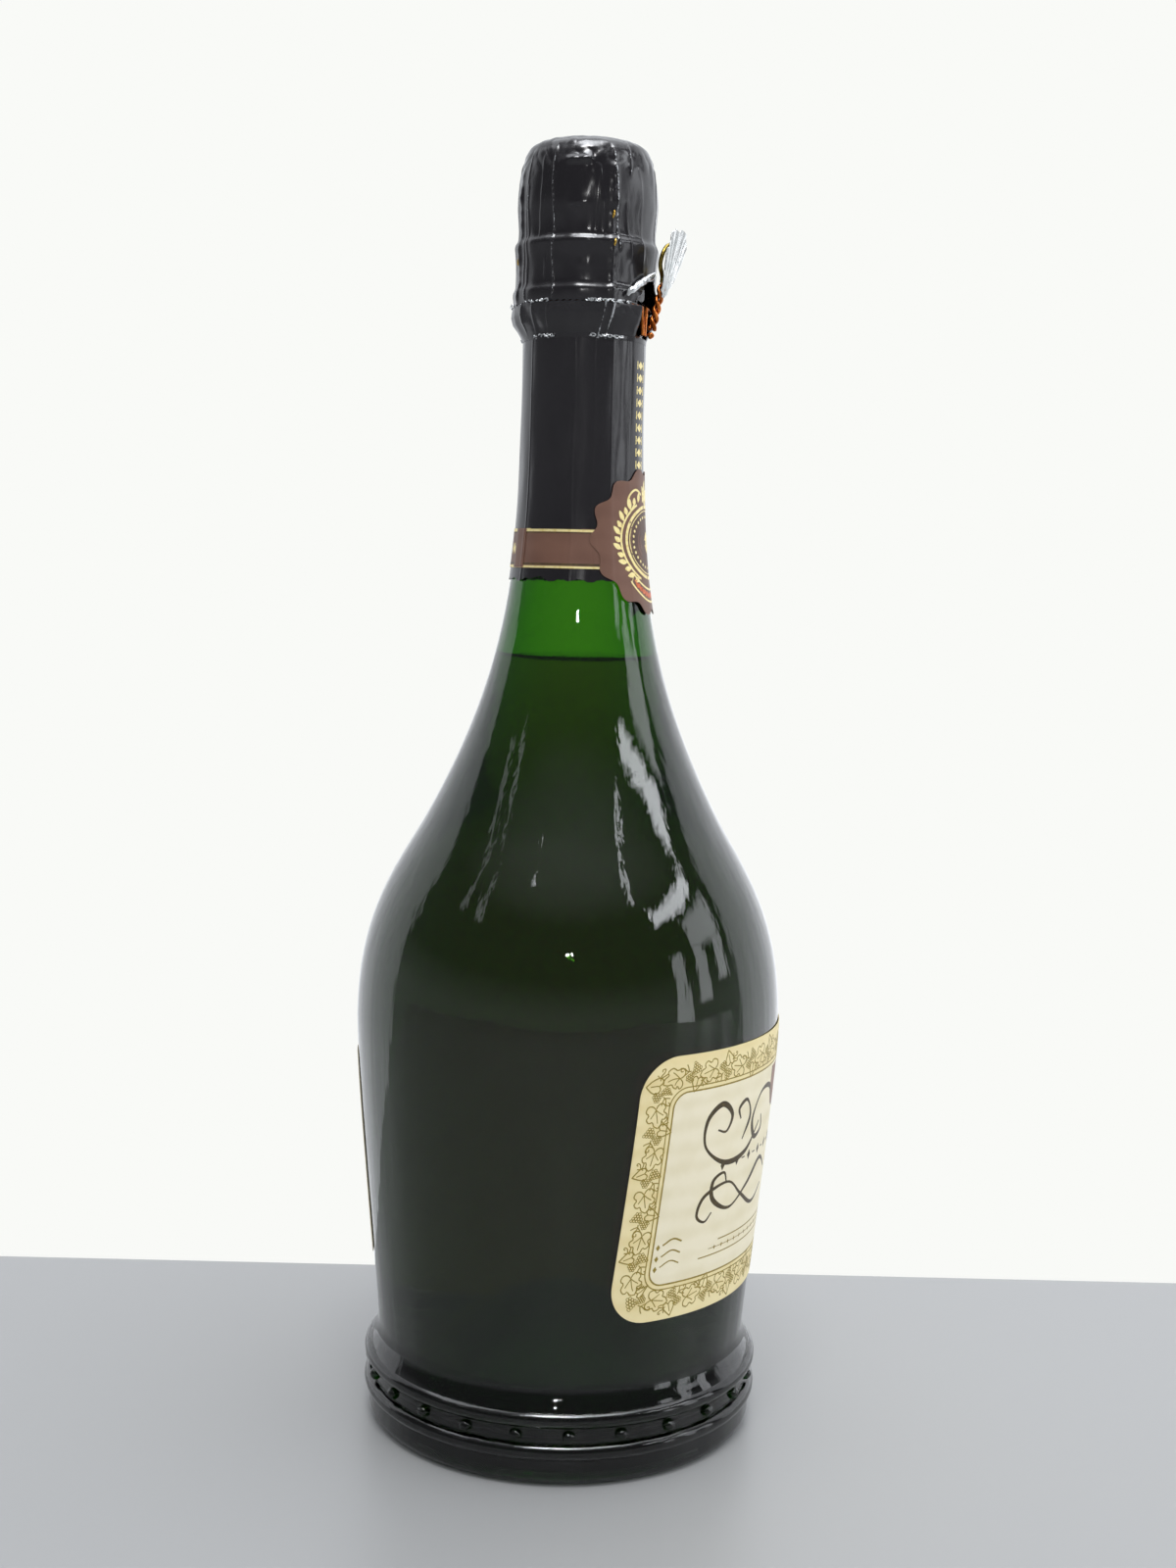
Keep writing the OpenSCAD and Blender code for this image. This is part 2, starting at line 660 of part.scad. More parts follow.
function seal_outline() = let (n = 4 * seal_scallops) [for (i = [0:n - 1]) let (
    a = 360 * i / n, lobe = seal_scallop_h * cos(seal_scallops * a))
    [(seal_w / 2 - seal_scallop_h + lobe) * cos(a), seal_z + (seal_h / 2 - seal_scallop_h + lobe) * sin(a)]];

module neck_band() {
    gap = glue_gap + foil_t + glue_gap;
    color("#6b4a3b") intersection() {
        skin(seal_z - seal_h / 2 - overrun, seal_z + seal_h / 2 + overrun, gap, paper_t);
        union() {
            translate([0, 0, band_z]) cylinder(h = band_h, d = body_d);
            round_cut(seal_outline(), gap + paper_t / 2);
        }
    }
}

module label(w, h, z, r) {
    color("#e9dfb8") intersection() {
        skin(z - overrun, z + h + overrun, label_gap, paper_t);
        round_cut(rounded_outline(w, h, z, r), label_gap + paper_t / 2);
    }
}

module front_label() {
    label(front_w, front_h, front_z, front_round);
}

module back_label() {
    rotate(180) label(back_w, back_h, back_z, back_round);
}

bottle_glass();
wine();
cork_body();
cork_disc_upper();
cork_disc_lower();
cage_cap();
cage_crown_wire();
cage_leg_1();
cage_leg_2();
cage_leg_3();
cage_leg_4();
leg_eyelets();
cage_belt();
stem_root();
pull_loop();
loop_scrap();
foil_hood();
torn_curl();
tear_strip();
neck_foil();
neck_band();
front_label();
back_label();
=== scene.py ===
"""Looks of a full, corked and foiled sparkling wine bottle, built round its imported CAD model.

Sizes in the classes are millimetres, as in the part's own source. Meshes are made in metres in the CAD model's frame:
+Z runs up the bottle's axis, the origin is in the middle of the base, and the front label faces -Y.
"""

from __future__ import annotations

import logging
import math
from dataclasses import dataclass, field
from enum import Enum
from typing import Callable, Sequence

import bpy
import numpy as np
from mathutils import Matrix, Vector

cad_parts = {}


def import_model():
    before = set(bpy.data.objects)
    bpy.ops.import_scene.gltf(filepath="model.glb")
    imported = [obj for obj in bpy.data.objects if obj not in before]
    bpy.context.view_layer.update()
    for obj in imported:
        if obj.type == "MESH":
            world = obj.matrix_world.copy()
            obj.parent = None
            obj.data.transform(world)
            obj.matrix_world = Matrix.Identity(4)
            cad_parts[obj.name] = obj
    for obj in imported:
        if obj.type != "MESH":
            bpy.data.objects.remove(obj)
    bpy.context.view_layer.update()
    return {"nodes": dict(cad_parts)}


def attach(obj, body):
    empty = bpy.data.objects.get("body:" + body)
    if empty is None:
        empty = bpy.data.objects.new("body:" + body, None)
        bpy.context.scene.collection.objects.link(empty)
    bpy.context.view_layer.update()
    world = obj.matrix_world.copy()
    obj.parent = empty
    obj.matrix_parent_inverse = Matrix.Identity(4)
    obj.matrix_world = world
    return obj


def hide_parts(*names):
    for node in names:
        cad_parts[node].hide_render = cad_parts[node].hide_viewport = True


LOG = logging.getLogger("bottle")
MM = 0.001
CAMERA_TURN = -169.5  # direction from the bottle's axis to the camera, in degrees from +X
FRONT = -90.0  # direction that the front label faces
LOOP_TURN = -103.5  # direction of the pull loop, over the gap in the tear strip
LEG_TURN = -148.5  # direction of the cage's first leg, with the others 90 degrees apart

Points = np.ndarray
Faces = list[tuple[int, ...]]
Solid = tuple[Points, Faces]
Material = bpy.types.Material
Node = bpy.types.Node
Socket = bpy.types.NodeSocket
Thing = bpy.types.Object
Tree = bpy.types.NodeTree
UP = np.array([0.0, 0.0, 1.0])


# Colour and node helpers


def linear(code: str) -> tuple[float, float, float, float]:
    """Turns an sRGB hex colour into the linear one that Blender uses.

    Args:
        code: The colour, such as "#e9dfb8".

    Returns:
        Linear red, green, blue and an alpha of 1.
    """
    parts = [int(code[i : i + 2], 16) / 255 for i in (1, 3, 5)]
    red, green, blue = (c / 12.92 if c <= 0.04045 else ((c + 0.055) / 1.055) ** 2.4 for c in parts)
    return red, green, blue, 1.0


def per_metre(size_mm: float) -> float:
    """Texture scale at which one feature of a pattern is that many millimetres."""
    return 1000.0 / size_mm


def add(tree: Tree, kind: str, settings: dict | None = None) -> Node:
    """Adds a node with its settings and its incoming links.

    Args:
        tree: The node tree that gets the node.
        kind: The node's type, without the leading "ShaderNode".
        settings: Values by the name or number of an input, or else by the name of a property. An output is linked to
            the input, and a node stands for its first output. The stops of a ramp are sRGB hex colours by place.

    Returns:
        The new node.
    """
    node = tree.nodes.new("ShaderNode" + kind)
    for key, value in (settings or {}).items():
        value = value.outputs[0] if isinstance(value, Node) else value
        if isinstance(value, Socket):
            tree.links.new(value, node.inputs[key])
        elif key == "stops":
            while len(node.color_ramp.elements) < len(value):
                node.color_ramp.elements.new(0.5)
            for element, (place, code) in zip(node.color_ramp.elements, sorted(value.items())):
                element.position, element.color = place, linear(code)
        elif not isinstance(key, int) and hasattr(node, key):
            setattr(node, key, value)
        else:
            node.inputs[key].default_value = value
    return node


def spread(start: float, end: float, low: float, high: float) -> dict[str, float]:
    """Settings that map the range start to end onto the range low to high."""
    return {"From Min": start, "From Max": end, "To Min": low, "To Max": high}


# Shape helpers, all in millimetres


def bezier(a: Sequence[float], b: Sequence[float], c: Sequence[float], d: Sequence[float], steps: int) -> Points:
    """Points of one cubic curve.

    Args:
        a: Its start.
        b: The first handle.
        c: The second handle.
        d: Its end.
        steps: Number of steps along it.

    Returns:
        One row for each point.
    """
    t = np.linspace(0, 1, steps + 1)[:, None]
    u = 1 - t
    return u**3 * np.array(a) + 3 * u * u * t * np.array(b) + 3 * u * t * t * np.array(c) + t**3 * np.array(d)


def arc(centre: Sequence[float], radius: float, start: float, end: float, steps: int) -> Points:
    """Points of a circular arc in a plane, between two angles in degrees.

    Args:
        centre: Its middle.
        radius: Its radius.
        start: First angle.
        end: Last angle.
        steps: Number of steps along it.

    Returns:
        One row for each point.
    """
    a = np.radians(np.linspace(start, end, steps + 1))
    return np.array(centre) + radius * np.stack([np.cos(a), np.sin(a)], 1)


def through(points: Sequence[Sequence[float]], count: int) -> Points:
    """Smooth line through points, with its points evenly spaced.

    Args:
        points: What the line goes through.
        count: Number of points to return.

    Returns:
        One row for each point.
    """
    p = np.array(points, float)
    p = np.vstack([2 * p[0] - p[1], p, 2 * p[-1] - p[-2]])
    t = np.linspace(0, 1, 24, endpoint=False)[:, None]
    dense = []
    for a, b, c, d in zip(p, p[1:], p[2:], p[3:]):
        dense.append(0.5 * (2 * b + (c - a) * t + (2 * a - 5 * b + 4 * c - d) * t**2 + (3 * b - a - 3 * c + d) * t**3))
    return evenly(np.vstack([*dense, p[-2:-1]]), count)


def lengths(line: Points) -> Points:
    """Way along a line from its start to each of its points."""
    return np.concatenate([[0], np.cumsum(np.linalg.norm(np.diff(line, axis=0), axis=1))])


def evenly(line: Points, count: int) -> Points:
    """The same line with its points evenly spaced.

    Args:
        line: One row for each point.
        count: Number of points to return.

    Returns:
        One row for each point.
    """
    way = lengths(line)
    at = np.linspace(0, way[-1], count)
    return np.stack([np.interp(at, way, line[:, k]) for k in range(line.shape[1])], 1)


def side_normals(line: Points) -> Points:
    """Unit normals of a flat line.

    Args:
        line: Distances from the axis and heights.

    Returns:
        One normal for each point, on the line's right-hand side.
    """
    d = np.gradient(line, axis=0)
    n = np.stack([d[:, 1], -d[:, 0]], 1)
    return n / np.linalg.norm(n, axis=1, keepdims=True)


def step_up(value: Points | float, start: float, end: float) -> Points:
    """Smooth step from 0 at start to 1 at end."""
    t = np.clip((np.asarray(value, float) - start) / (end - start), 0, 1)
    return t * t * (3 - 2 * t)


def turned(value: Points | float) -> Points:
    """Degrees brought to between -180 and 180."""
    return (np.asarray(value, float) + 180) % 360 - 180


def polar(radius: Points, turn: Points, z: Points) -> Points:
    """Points at a distance from the axis, a direction in degrees and a height."""
    a = np.radians(turn)
    return np.stack(np.broadcast_arrays(radius * np.cos(a), radius * np.sin(a), z), -1)


def bearings(turn: float) -> tuple[Points, Points]:
    """Unit vectors away from the axis and round it, at a direction in degrees."""
    a = math.radians(turn)
    return np.array([math.cos(a), math.sin(a), 0]), np.array([-math.sin(a), math.cos(a), 0])


def joined(solids: Sequence[Solid]) -> Solid:
    """Puts several solids in one mesh.

    Args:
        solids: The points and faces of each.

    Returns:
        All their points and faces.
    """
    points, faces, start = [], [], 0
    for p, f in solids:
        points.append(p)
        faces += [tuple(i + start for i in face) for face in f]
        start += len(p)
    return np.vstack(points), faces


def grid_faces(rows: int, columns: int, start: int = 0, wrapped: bool = False, flip: bool = False) -> Faces:
    """Faces of a grid of points that are stored row by row.

    Args:
        rows: Number of rows.
        columns: Number of columns.
        start: Number of the first point.
        wrapped: Whether the last column meets the first.
        flip: Whether the faces look the other way.

    Returns:
        The faces.
    """
    i, k = np.meshgrid(np.arange(rows - 1), np.arange(columns if wrapped else columns - 1), indexing="ij")
    n = (k + 1) % columns
    corners = np.stack([i * columns + k, i * columns + n, (i + 1) * columns + n, (i + 1) * columns + k], -1)
    corners = corners.reshape(-1, 4) + start
    return [tuple(f) for f in (corners[:, ::-1] if flip else corners).tolist()]


def tube(rings: Points, closed: bool = False, flip: bool = False) -> Solid:
    """Solid through rings of points.

    Args:
        rings: The points, as rings by points of a ring by 3.
        closed: Whether the last ring meets the first. The solid has flat ends otherwise.
        flip: Whether the faces look the other way.

    Returns:
        The closed solid.
    """
    rows, columns = rings.shape[:2]
    last = (rows - 1) * columns
    if closed:
        ends = [(last + k, last + (k + 1) % columns, (k + 1) % columns, k) for k in range(columns)]
    else:
        ends = [tuple(range(columns))[::-1], tuple(range(last, last + columns))]
    if flip:
        ends = [face[::-1] for face in ends]
    return rings.reshape(-1, 3), grid_faces(rows, columns, wrapped=True, flip=flip) + ends


def lathe(line: Points, columns: int) -> Solid:
    """Turns an outline round the axis, and closes each end with a point on the axis.

    Args:
        line: Distances from the axis and heights.
        columns: Number of steps round the axis.

    Returns:
        The closed solid.
    """
    turn = np.arange(columns) * 360 / columns
    points = polar(line[:, :1], turn[None, :], line[:, 1:]).reshape(-1, 3)
    low, high, last = len(points), len(points) + 1, len(points) - columns
    faces = grid_faces(len(line), columns, wrapped=True)
    faces += [(low, (k + 1) % columns, k) for k in range(columns)]
    faces += [(high, last + k, last + (k + 1) % columns) for k in range(columns)]
    return np.vstack([points, [[0, 0, line[0][1]], [0, 0, line[-1][1]]]]), faces


def sheet(outer: Points, inner: Points, wrapped: bool = False) -> Solid:
    """Thin solid between two grids of points of the same size.

    Args:
        outer: The outer surface, as rows by columns by 3.
        inner: The inner surface.
        wrapped: Whether the columns close into a ring.

    Returns:
        The closed solid.
    """
    rows, columns = outer.shape[:2]
    count = rows * columns
    faces = grid_faces(rows, columns, 0, wrapped) + grid_faces(rows, columns, count, wrapped, flip=True)
    along = range(columns if wrapped else columns - 1)
    for row, flip in ((0, False), (rows - 1, True)):
        for k in along:
            a, b = row * columns + k, row * columns + (k + 1) % columns
            face = (b, a, a + count, b + count)
            faces.append(face[::-1] if flip else face)
    if not wrapped:
        for column, flip in ((0, True), (columns - 1, False)):
            for i in range(rows - 1):
                a, b = i * columns + column, (i + 1) * columns + column
                face = (b, a, a + count, b + count)
                faces.append(face[::-1] if flip else face)
    return np.vstack([outer.reshape(-1, 3), inner.reshape(-1, 3)]), faces


def frames(path: Points, axis: int) -> tuple[Points, Points]:
    """Two unit vectors across a path at each of its points, which turn no more than the path does.

    Args:
        path: One row for each point.
        axis: The coordinate axis that the first vector starts from, unless the path starts along it.

    Returns:
        The first and the second vectors, with one row for each point.
    """
    way = np.gradient(path, axis=0)
    way /= np.linalg.norm(way, axis=1, keepdims=True)
    axes = np.eye(3)
    across = axes[axis] if abs(way[0][axis]) < 0.9 else axes[axis - 2]
    pairs = []
    for w in way:
        across = across - (across @ w) * w
        across /= np.linalg.norm(across)
        pairs.append((across, np.cross(w, across)))
    return tuple(np.array(side) for side in zip(*pairs))


def wire(path: Points, radius: float | Points, sides: int = 12) -> Solid:
    """Round wire along a path.

    Args:
        path: One row for each point of its middle.
        radius: Its radius, or one for each point.
        sides: Number of sides.

    Returns:
        The closed solid.
    """
    across, other = frames(path, 2)
    turn = (np.arange(sides) * 2 * np.pi / sides)[:, None]
    ring = np.cos(turn) * across[:, None] + np.sin(turn) * other[:, None]
    return tube(path[:, None] + np.broadcast_to(radius, len(path))[:, None, None] * ring)


def twisted(path: Points, strand_r: float, pitch: float, sides: int, turn: float) -> Solid:
    """Two wires twisted round each other along a path.

    Args:
        path: Middle line of the pair.
        strand_r: Radius of one wire.
        pitch: Length in which a wire turns once.
        sides: Number of sides of a wire.
        turn: Angle at which the first wire starts, in degrees.

    Returns:
        Both wires.
    """
    across, other = frames(path, 0)
    strands = []
    for side in (0, 180):
        a = np.radians(turn + side + 360 * lengths(path) / pitch)
        middle = [p + strand_r * (math.cos(k) * u + math.sin(k) * v) for p, k, u, v in zip(path, a, across, other)]
        strands.append(wire(np.array(middle), strand_r, sides))
    return joined(strands)


def settle(
    name: str,
    solid: Solid,
    finish: Finish,
    body: str,
    slot: str,
    *nodes: str,
    sharp: float = 40.0,
    marks: dict[str, Points] | None = None,
) -> None:
    """Makes a piece, and puts it on its body and in place of CAD nodes.

    Args:
        name: The piece's name.
        solid: Its points and faces, in millimetres.
        finish: Its finish.
        body: The body that it rides on.
        slot: The record's material slot, which is not used.
        nodes: The CAD nodes that it stands for.
        sharp: Edges sharper than this angle, in degrees, stay hard.
        marks: Values for each point, by attribute name, that the material reads.
    """
    points, faces = solid
    mesh = bpy.data.meshes.new(name)
    mesh.from_pydata((points * MM).tolist(), [], faces)
    mesh.validate()
    mesh.polygons.foreach_set("use_smooth", np.ones(len(mesh.polygons), bool))
    mesh.set_sharp_from_angle(angle=math.radians(sharp))
    for key, values in (marks or {}).items():
        mesh.attributes.new(key, "FLOAT", "POINT").data.foreach_set("value", np.asarray(values, np.float32))
    mesh.materials.append(finish.material())
    mesh.update()
    thing = bpy.data.objects.new(name, mesh)
    bpy.context.scene.collection.objects.link(thing)
    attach(thing, body)
    if nodes:
        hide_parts(*nodes)
    LOG.info("%s: %d faces on %s", name, len(mesh.polygons), body)


def dress(node: Thing, finish: Finish) -> None:
    """Gives a carried-over CAD node its finish.

    Args:
        node: The CAD node's object.
        finish: Its finish.
    """
    node.data.materials.clear()
    node.data.materials.append(finish.material())
    LOG.info("%s: CAD node with %s", node.name, finish.value.name)


# Finishes


@dataclass(frozen=True)
class Recipe:
    """What every finish shares: a material's name, and the way from the finish's own nodes to that material."""

    name: str

    def make(self) -> Material:
        """Builds the material and returns it."""
        material = bpy.data.materials.new(self.name)
        material.use_nodes = True
        material.node_tree.nodes.clear()
        add(material.node_tree, "OutputMaterial", self.layers(material.node_tree))
        return material

    def layers(self, tree: Tree) -> dict[str, Node]:
        """Adds the finish's own nodes.

        Args:
            tree: The material's node tree.

        Returns:
            What goes to each socket of the material's output.
        """
        raise NotImplementedError(self.name)


@dataclass(frozen=True)
class Clear(Recipe):
    """What glass and wine share: a clear skin round an inside that stains the light on its way through."""

    ior: float
    stain: tuple[float, float, float]  # what a metre would keep of the light, before its density
    density: float
    roughness: float

    def skin(self, tree: Tree) -> dict[str, Node]:
        """Links to the skin's inputs. A plain skin has none."""
        return {}

    def layers(self, tree: Tree) -> dict[str, Node]:
        """A clear skin, and an inside that stains the light on its way through, as Recipe says."""
        settings = {"Base Color": (1, 1, 1, 1), "Roughness": self.roughness, "IOR": self.ior}
        shader = add(tree, "BsdfPrincipled", {**settings, "Transmission Weight": 1.0, **self.skin(tree)})
        stain = add(tree, "VolumeAbsorption", {"Color": (*self.stain, 1.0), "Density": self.density})
        return {"Surface": shader, "Volume": stain}


@dataclass(frozen=True)
class Wine(Clear):
    """Sparkling wine behind dark glass: straw-coloured and clear near its surface, and black where the eye looks
    through its whole width."""

    name: str = "sparkling_wine"
    ior: float = 1.34
    stain: tuple[float, float, float] = (0.81, 0.57, 0.0)
    density: float = 100.0
    roughness: float = 0.0


@dataclass(frozen=True)
class BottleGlass(Clear):
    """Moulded soda-lime bottle glass: clear gloss outside, and green that deepens to black where the eye looks through
    more of it. Faint upright waves from the mould streak what shows through."""

    name: str = "moulded_soda_lime_glass"
    ior: float = 1.52
    stain: tuple[float, float, float] = (0.418, 0.7, 0.0)
    density: float = 885.0
    roughness: float = 0.015
    wave_mm: float = 5.0
    wave_stretch: float = 0.06

    def skin(self, tree: Tree) -> dict[str, Node]:
        """Links to the skin's inputs, for the waves of the mould.

        Args:
            tree: The material's node tree.

        Returns:
            The node that is linked to each input.
        """
        where = add(tree, "TexCoord").outputs["Object"]
        upright = add(tree, "Mapping", {"Scale": (1.0, 1.0, self.wave_stretch), "Vector": where})
        waves = add(tree, "TexNoise", {"Scale": per_metre(self.wave_mm), "Detail": 3.0, "Vector": upright})
        return {"Normal": add(tree, "Bump", {"Strength": 0.25, "Distance": 0.0006, "Height": waves})}


@dataclass(frozen=True)
class LacqueredFoil(Recipe):
    """Aluminium foil, black lacquered and pressed on by machine: a deep black gloss, broken by fine creases, that has
    rubbed through to bare metal along the sharpest folds."""

    name: str = "black_lacquered_foil"
    colour: str = "#1b191c"
    bare: str = "#b7b9bb"
    ior: float = 1.5
    crinkle_mm: float = 1.6
    fold_mm: float = 6.0
    grit_mm: float = 0.5  # real scratches are finer, which would not show

    def layers(self, tree: Tree) -> dict[str, Node]:
        """Lacquer over folds and crinkles, and bare metal where the wear is high, as Recipe says."""
        where = add(tree, "TexCoord").outputs["Object"]
        upright = add(tree, "Mapping", {"Scale": (1.0, 1.0, 0.35), "Vector": where})
        folds = add(tree, "TexNoise", {"Scale": per_metre(self.fold_mm), "Detail": 4.0, "Vector": upright})
        settings = {"Scale": per_metre(self.crinkle_mm), "Detail": 2.0, "Roughness": 0.4}
        crinkle = add(tree, "TexNoise", {**settings, "Vector": upright})
        bump = add(tree, "Bump", {"Strength": 0.3, "Distance": 0.0004, "Height": folds})
        bump = add(tree, "Bump", {"Strength": 0.12, "Distance": 0.0002, "Height": crinkle, "Normal": bump})
        grit = add(tree, "TexNoise", {"Scale": per_metre(self.grit_mm), "Detail": 3.0, "Vector": where})
        wear = add(tree, "Attribute", {"attribute_name": "wear"}).outputs["Fac"]
        worn = add(tree, "Math", {"operation": "ADD", 0: wear, 1: grit})
        mask = add(tree, "MapRange", {**spread(1.28, 1.36, 0.0, 1.0), "Value": worn})
        settings = {"data_type": "RGBA", 6: linear(self.colour), 7: linear(self.bare), "Factor": mask}
        colour = add(tree, "Mix", settings).outputs[2]
        gloss = add(tree, "MapRange", {**spread(0.3, 0.7, 0.13, 0.26), "Value": folds})
        roughness = add(tree, "Mix", {"data_type": "FLOAT", 2: gloss, 3: 0.42, "Factor": mask})
        settings = {"IOR": self.ior, "Base Color": colour, "Metallic": mask, "Roughness": roughness, "Normal": bump}
        return {"Surface": add(tree, "BsdfPrincipled", settings)}


@dataclass(frozen=True)
class CrumpledAluminium(Recipe):
    """Torn aluminium foil, rolled and bare: silver whose colour follows its fine crumpling, painted darker grey in the
    hollows as painted shade and lighter on the crests as painted highlight.
    """

    name: str = "bare_rolled_aluminium_foil"
    bright: str = "#e3e5e6"
    hollow_shade: str = "#a2a5a6"
    crumple_mm: float = 1.4
    fineness: float = 5.0
    relief: float = 0.3

    def layers(self, tree: Tree) -> dict[str, Node]:
        """Metal whose colour, gloss and relief follow one crumpling, as Recipe says."""
        where = add(tree, "TexCoord").outputs["Object"]
        settings = {"Scale": per_metre(self.crumple_mm), "Detail": self.fineness, "Roughness": 0.6, "Vector": where}
        crumple = add(tree, "TexNoise", settings)
        # Painted shade and highlight: the colour goes from a darker grey in the crumpling's hollows to bright silver on
        # its crests, following the same noise as the bump.
        settings = {
            "Metallic": 0.9,
            "Base Color": add(tree, "ValToRGB", {"stops": {0.3: self.hollow_shade, 0.62: self.bright}, "Fac": crumple}),
            "Roughness": add(tree, "MapRange", {**spread(0.3, 0.7, 0.42, 0.2), "Value": crumple}),
            "Normal": add(tree, "Bump", {"Strength": self.relief, "Distance": 0.0003, "Height": crumple}),
        }
        return {"Surface": add(tree, "BsdfPrincipled", settings)}


@dataclass(frozen=True)
class LacqueredSteel(Recipe):
    """Steel wire or sheet under a tinted lacquer: the metal's shine in the lacquer's colour, darker where the lacquer
    has pooled and aged."""

    name: str
    bright: str
    dark: str
    patch_mm: float = 2.5
    smooth: float = 0.22
    rough: float = 0.4
    grain_mm: float = 0.3

    def layers(self, tree: Tree) -> dict[str, Node]:
        """Metal with aged patches and a fine grain, as Recipe says."""
        where = add(tree, "TexCoord").outputs["Object"]
        age = add(tree, "TexNoise", {"Scale": per_metre(self.patch_mm), "Detail": 4.0, "Vector": where})
        fine = add(tree, "TexNoise", {"Scale": per_metre(self.grain_mm), "Detail": 2.0, "Vector": where})
        settings = {
            "Metallic": 1.0,
            "Base Color": add(tree, "ValToRGB", {"stops": {0.35: self.dark, 0.6: self.bright}, "Fac": age}),
            "Roughness": add(tree, "MapRange", {**spread(0.3, 0.7, self.rough, self.smooth), "Value": age}),
            "Normal": add(tree, "Bump", {"Strength": 0.15, "Distance": 0.00005, "Height": fine}),
        }
        return {"Surface": add(tree, "BsdfPrincipled", settings)}


@dataclass(frozen=True)
class AgglomerateCork(Recipe):
    """Cork granules pressed and glued into a shank: a matt brown speckle of lighter and darker grains."""

    name: str = "pressed_cork_granules"
    light: str = "#c0925f"
    middle: str = "#a5764a"
    dark: str = "#74492a"
    grain_mm: float = 2.4
    pit_mm: float = 0.6

    def layers(self, tree: Tree) -> dict[str, Node]:
        """Grains of one tone each, with pits in them, as Recipe says."""
        where = add(tree, "TexCoord").outputs["Object"]
        grains = add(tree, "TexVoronoi", {"Scale": per_metre(self.grain_mm), "Vector": where})
        tone = add(tree, "SeparateColor", {"Color": grains.outputs["Color"]})
        pits = add(tree, "TexNoise", {"Scale": per_metre(self.pit_mm), "Detail": 4.0, "Vector": where})
        both = add(tree, "Math", {"operation": "MULTIPLY_ADD", 0: tone, 1: 0.6, 2: pits})
        stops = {0.55: self.dark, 0.7: self.middle, 0.95: self.light}
        colour = add(tree, "ValToRGB", {"stops": stops, "Fac": both})
        bump = add(tree, "Bump", {"Strength": 0.5, "Distance": 0.0003, "Height": grains})
        return {"Surface": add(tree, "BsdfPrincipled", {"Roughness": 0.85, "Base Color": colour, "Normal": bump})}


@dataclass(frozen=True)
class NaturalCork(Recipe):
    """Punched disc of natural cork: pale tan with fine growth bands and dark pores."""

    name: str = "punched_natural_cork"
    light: str = "#c9a070"
    dark: str = "#a5764a"
    pore: str = "#6d4526"
    band_mm: float = 3.0
    pore_mm: float = 1.8

    def layers(self, tree: Tree) -> dict[str, Node]:
        """Growth bands with pores in them, as Recipe says."""
        where = add(tree, "TexCoord").outputs["Object"]
        bands = add(tree, "Mapping", {"Scale": (1.0, 0.15, 0.3), "Vector": where})
        growth = add(tree, "TexNoise", {"Scale": per_metre(self.band_mm), "Detail": 4.0, "Vector": bands})
        growth = add(tree, "ValToRGB", {"stops": {0.35: self.dark, 0.65: self.light}, "Fac": growth})
        pores = add(tree, "TexVoronoi", {"Scale": per_metre(self.pore_mm), "Randomness": 1.0, "Vector": where})
        pit = add(tree, "MapRange", {**spread(0.08, 0.2, 1.0, 0.0), "Value": pores})
        colour = add(tree, "Mix", {"data_type": "RGBA", 6: growth, 7: linear(self.pore), "Factor": pit}).outputs[2]
        bump = add(tree, "Bump", {"Strength": 0.4, "Distance": 0.0002, "Height": pores})
        return {"Surface": add(tree, "BsdfPrincipled", {"Roughness": 0.8, "Base Color": colour, "Normal": bump})}


@dataclass(frozen=True)
class LabelPaper(Recipe):
    """Uncoated laid paper, machine made: matt, with faint close lines and a slight cloudiness of its fibres."""

    name: str
    colour: str
    shade: str
    roughness: float = 0.7
    line_mm: float = 0.8  # real laid lines are closer, at about 0.5 mm, which would not show
    cloud_mm: float = 7.0
    fibre_mm: float = 0.35

    def layers(self, tree: Tree) -> dict[str, Node]:
        """Laid lines over cloudy fibres, as Recipe says. A wave texture draws 20 bands in a unit of its scale."""
        where = add(tree, "TexCoord").outputs["Object"]
        cloud = add(tree, "TexNoise", {"Scale": per_metre(self.cloud_mm), "Detail": 6.0, "Vector": where})
        fibre = add(tree, "TexNoise", {"Scale": per_metre(self.fibre_mm), "Detail": 3.0, "Vector": where})
        settings = {"bands_direction": "Z", "Scale": per_metre(self.line_mm) / 20, "Distortion": 0.6, "Detail": 1.0}
        laid = add(tree, "TexWave", {**settings, "Vector": where}).outputs["Fac"]
        tone = add(tree, "Math", {"operation": "MULTIPLY_ADD", 0: laid, 1: 0.25, 2: cloud})
        relief = add(tree, "Math", {"operation": "MULTIPLY_ADD", 0: laid, 1: 0.4, 2: fibre})
        colour = add(tree, "ValToRGB", {"stops": {0.35: self.shade, 0.75: self.colour}, "Fac": tone})
        bump = add(tree, "Bump", {"Strength": 0.25, "Distance": 0.00006, "Height": relief})
        settings = {"Roughness": self.roughness, "IOR": 1.45, "Sheen Weight": 0.05, "Base Color": colour}
        return {"Surface": add(tree, "BsdfPrincipled", {**settings, "Normal": bump})}


